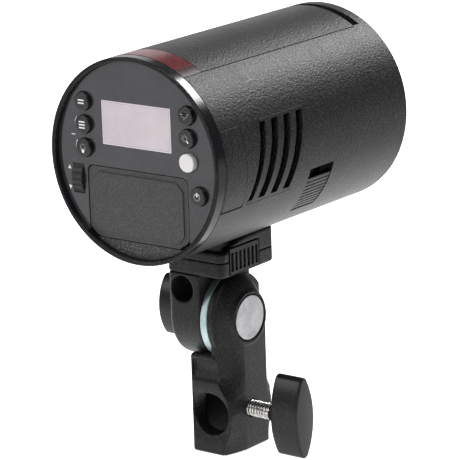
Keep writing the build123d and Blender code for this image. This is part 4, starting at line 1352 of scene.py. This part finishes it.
@dataclass
class Studio:
    """Pale sweep, soft lights and the camera.

    Attributes:
        azimuth: Camera azimuth in degrees.
        elevation: Camera elevation in degrees.
        roll: Camera roll in degrees.
        lens: Focal length in millimetres on a 36 mm sensor.
        eye: Camera position in metres.
        aim: The point that the lights face, in metres.
        glow_half_width: Where the floor's glow begins to fade and ends, to either side of the view.
        glow_start: Where the floor's glow begins and is full, along the view.
        room: Strength of the light from all round.
    """

    azimuth: float = 37.60
    elevation: float = 14.87
    roll: float = -1.97
    lens: float = 233.82
    eye: Point3 = (0.653938, -0.842874, 0.365305)
    aim: Point3 = (0.0, 0.0, 0.09)
    glow_half_width: Flat = (0.13, 0.24)
    glow_start: Flat = (-0.3, -0.08)
    room: float = 0.06

    def camera(self) -> None:
        """Set up the camera."""
        data = bpy.data.cameras.new("Camera")
        data.lens = self.lens
        data.sensor_width = 36.0
        data.clip_end = 20.0
        camera = bpy.data.objects.new("Camera", data)
        bpy.context.collection.objects.link(camera)
        a, e, r = (math.radians(v) for v in (self.azimuth, self.elevation, self.roll))
        right = Vector((math.cos(a), math.sin(a), 0))
        back = Vector((math.sin(a) * math.cos(e), -math.cos(a) * math.cos(e), math.sin(e)))
        up = back.cross(right)
        turned = (right * math.cos(r) + up * math.sin(r), up * math.cos(r) - right * math.sin(r), back)
        basis = Matrix(turned).transposed().to_4x4()
        camera.matrix_world = Matrix.Translation(self.eye) @ basis
        bpy.context.scene.camera = camera

    def sweep(self, level: float) -> None:
        """Floor that curves up into a wall behind the object.

        Args:
            level: Height of the floor in metres.
        """
        profile = [(-3.0, 0.0)]
        profile += [(1.6 + 0.8 * math.sin(t), 0.8 - 0.8 * math.cos(t)) for t in
                    (math.pi / 2 * i / 16 for i in range(17))]
        profile.append((2.4, 3.2))
        mesh = bmesh.new()
        left = [mesh.verts.new((-3.5, y, z + level)) for y, z in profile]
        right = [mesh.verts.new((3.5, y, z + level)) for y, z in profile]
        for i in range(len(profile) - 1):
            mesh.faces.new((left[i], right[i], right[i + 1], left[i + 1]))
        data = bpy.data.meshes.new("Backdrop")
        mesh.to_mesh(data)
        mesh.free()
        data.shade_smooth()
        floor = bpy.data.objects.new("Backdrop", data)
        floor.rotation_euler.z = math.radians(self.azimuth)
        bpy.context.collection.objects.link(floor)
        shade = Shading("Backdrop paper")
        fibre = shade.noise(0.02, 3.0)
        place = shade.node("ShaderNodeSeparateXYZ", {0: shade.place})
        wide = shade.span(shade.sums("ABSOLUTE", place.outputs[0]), *self.glow_half_width, 1.0, 0.0)
        deep = shade.span(place.outputs[1], *self.glow_start, 0.0, 1.0)
        shade.feed(Base_Color=shade.ramp(fibre, [(0.3, (0.84, 0.84, 0.84)), (0.7, (0.88, 0.88, 0.88))]),
                   Emission_Strength=shade.sums("MULTIPLY", wide, deep))
        shade.fix(Roughness=0.9, Specular_IOR_Level=0.1, Emission_Color=(1.0, 1.0, 1.0, 1.0))
        data.materials.append(shade.material)
        floor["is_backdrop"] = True

    def light(self, name: str, place: Point3, size: Flat, power: float) -> None:
        """Add one soft light.

        Args:
            name: Name of the light.
            place: Its position in metres.
            size: Its width and height in metres.
            power: Its power in watts.
        """
        data = bpy.data.lights.new(name, "AREA")
        data.shape = "RECTANGLE"
        data.size, data.size_y = size
        data.energy = power
        lamp = bpy.data.objects.new(name, data)
        lamp.location = place
        lamp.rotation_euler = (Vector(place) - Vector(self.aim)).to_track_quat("Z", "Y").to_euler()
        bpy.context.collection.objects.link(lamp)

    def build(self, level: float) -> None:
        """Set up everything that isn't the object.

        Args:
            level: Height of the floor in metres.
        """
        self.camera()
        self.sweep(level)
        self.light("Key", (0.2, 1.05, 0.95), (0.5, 0.4), 19.0)
        self.light("Top", (-0.1, -0.2, 1.2), (0.6, 0.8), 7.0)
        self.light("Front", (0.15, -1.35, 1.0), (0.5, 0.5), 7.5)
        self.light("Left", (-0.78, -0.92, 0.62), (0.4, 0.25), 4.0)
        bpy.context.scene.view_settings.view_transform = "Standard"
        world = bpy.data.worlds.new("Room")
        world.use_nodes = True
        background = world.node_tree.nodes["Background"]
        background.inputs[0].default_value = (1, 1, 1, 1)
        background.inputs[1].default_value = self.room
        bpy.context.scene.world = world


def main() -> None:
    """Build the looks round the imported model."""
    logging.basicConfig(level=logging.INFO, format="%(message)s")
    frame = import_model()
    cad_box = [list(corner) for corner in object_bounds()]
    shelf = FinishShelf()
    shelf.dress(frame)
    Studio().build(cad_box[0][2] - 0.0002)
    ControlFace().build(frame, shelf)
    BracketCasting().build(shelf, "cast_black", Link.BRACKET, "bracket_body")
    TiltBlockCasting().build(shelf, "cast_black", Link.TILT, "tilt_block")
    ShoeCasting("shoe_lower_casting").build(shelf, "cast_black", Link.TILT, "shoe_lower")
    ShoeCasting("shoe_upper_casting", floor=24.15, upper=True).build(shelf, "cast_black", Link.HEAD, "shoe_upper")
    KnobCasting("stand_knob_casting", (21.5, -6.6, -51.8), (38.0, 6.6, -18.6), level=-35.2).build(
        shelf, "knob_black", Link.CLAMP, "stand_knob")
    KnobCasting("tilt_knob_casting", (-27.4, -6.6, -12.9), (-12.0, 6.6, 12.9), near=15.4, far=26.4, tall=11.9,
                hub=12.7, turn=-1.0).build(shelf, "knob_black", Link.TILT_LOCK, "tilt_knob")
    ClampThread().build(shelf)
    for side in (1, -1):
        VentSheet(side).build(shelf)
    # Painted shade: a near-black sheet behind the top slot.
    PaintedShadeSheet("top_slot_painted_shade", 34.9, (57.0, 123.0), (105.4, 109.6)).build(shelf)
    # Painted shade: near-black sheets in the release recess, on either side of the slider.
    for name, along in (("release_painted_shade_rear", (54.6, 59.2)), ("release_painted_shade_front", (64.1, 68.7))):
        PaintedShadeSheet(name, 36.46, (-21.8, -16.0), along, 0.1).build(shelf)
    LampFront().build(shelf)


if __name__ == "__main__":
    main()
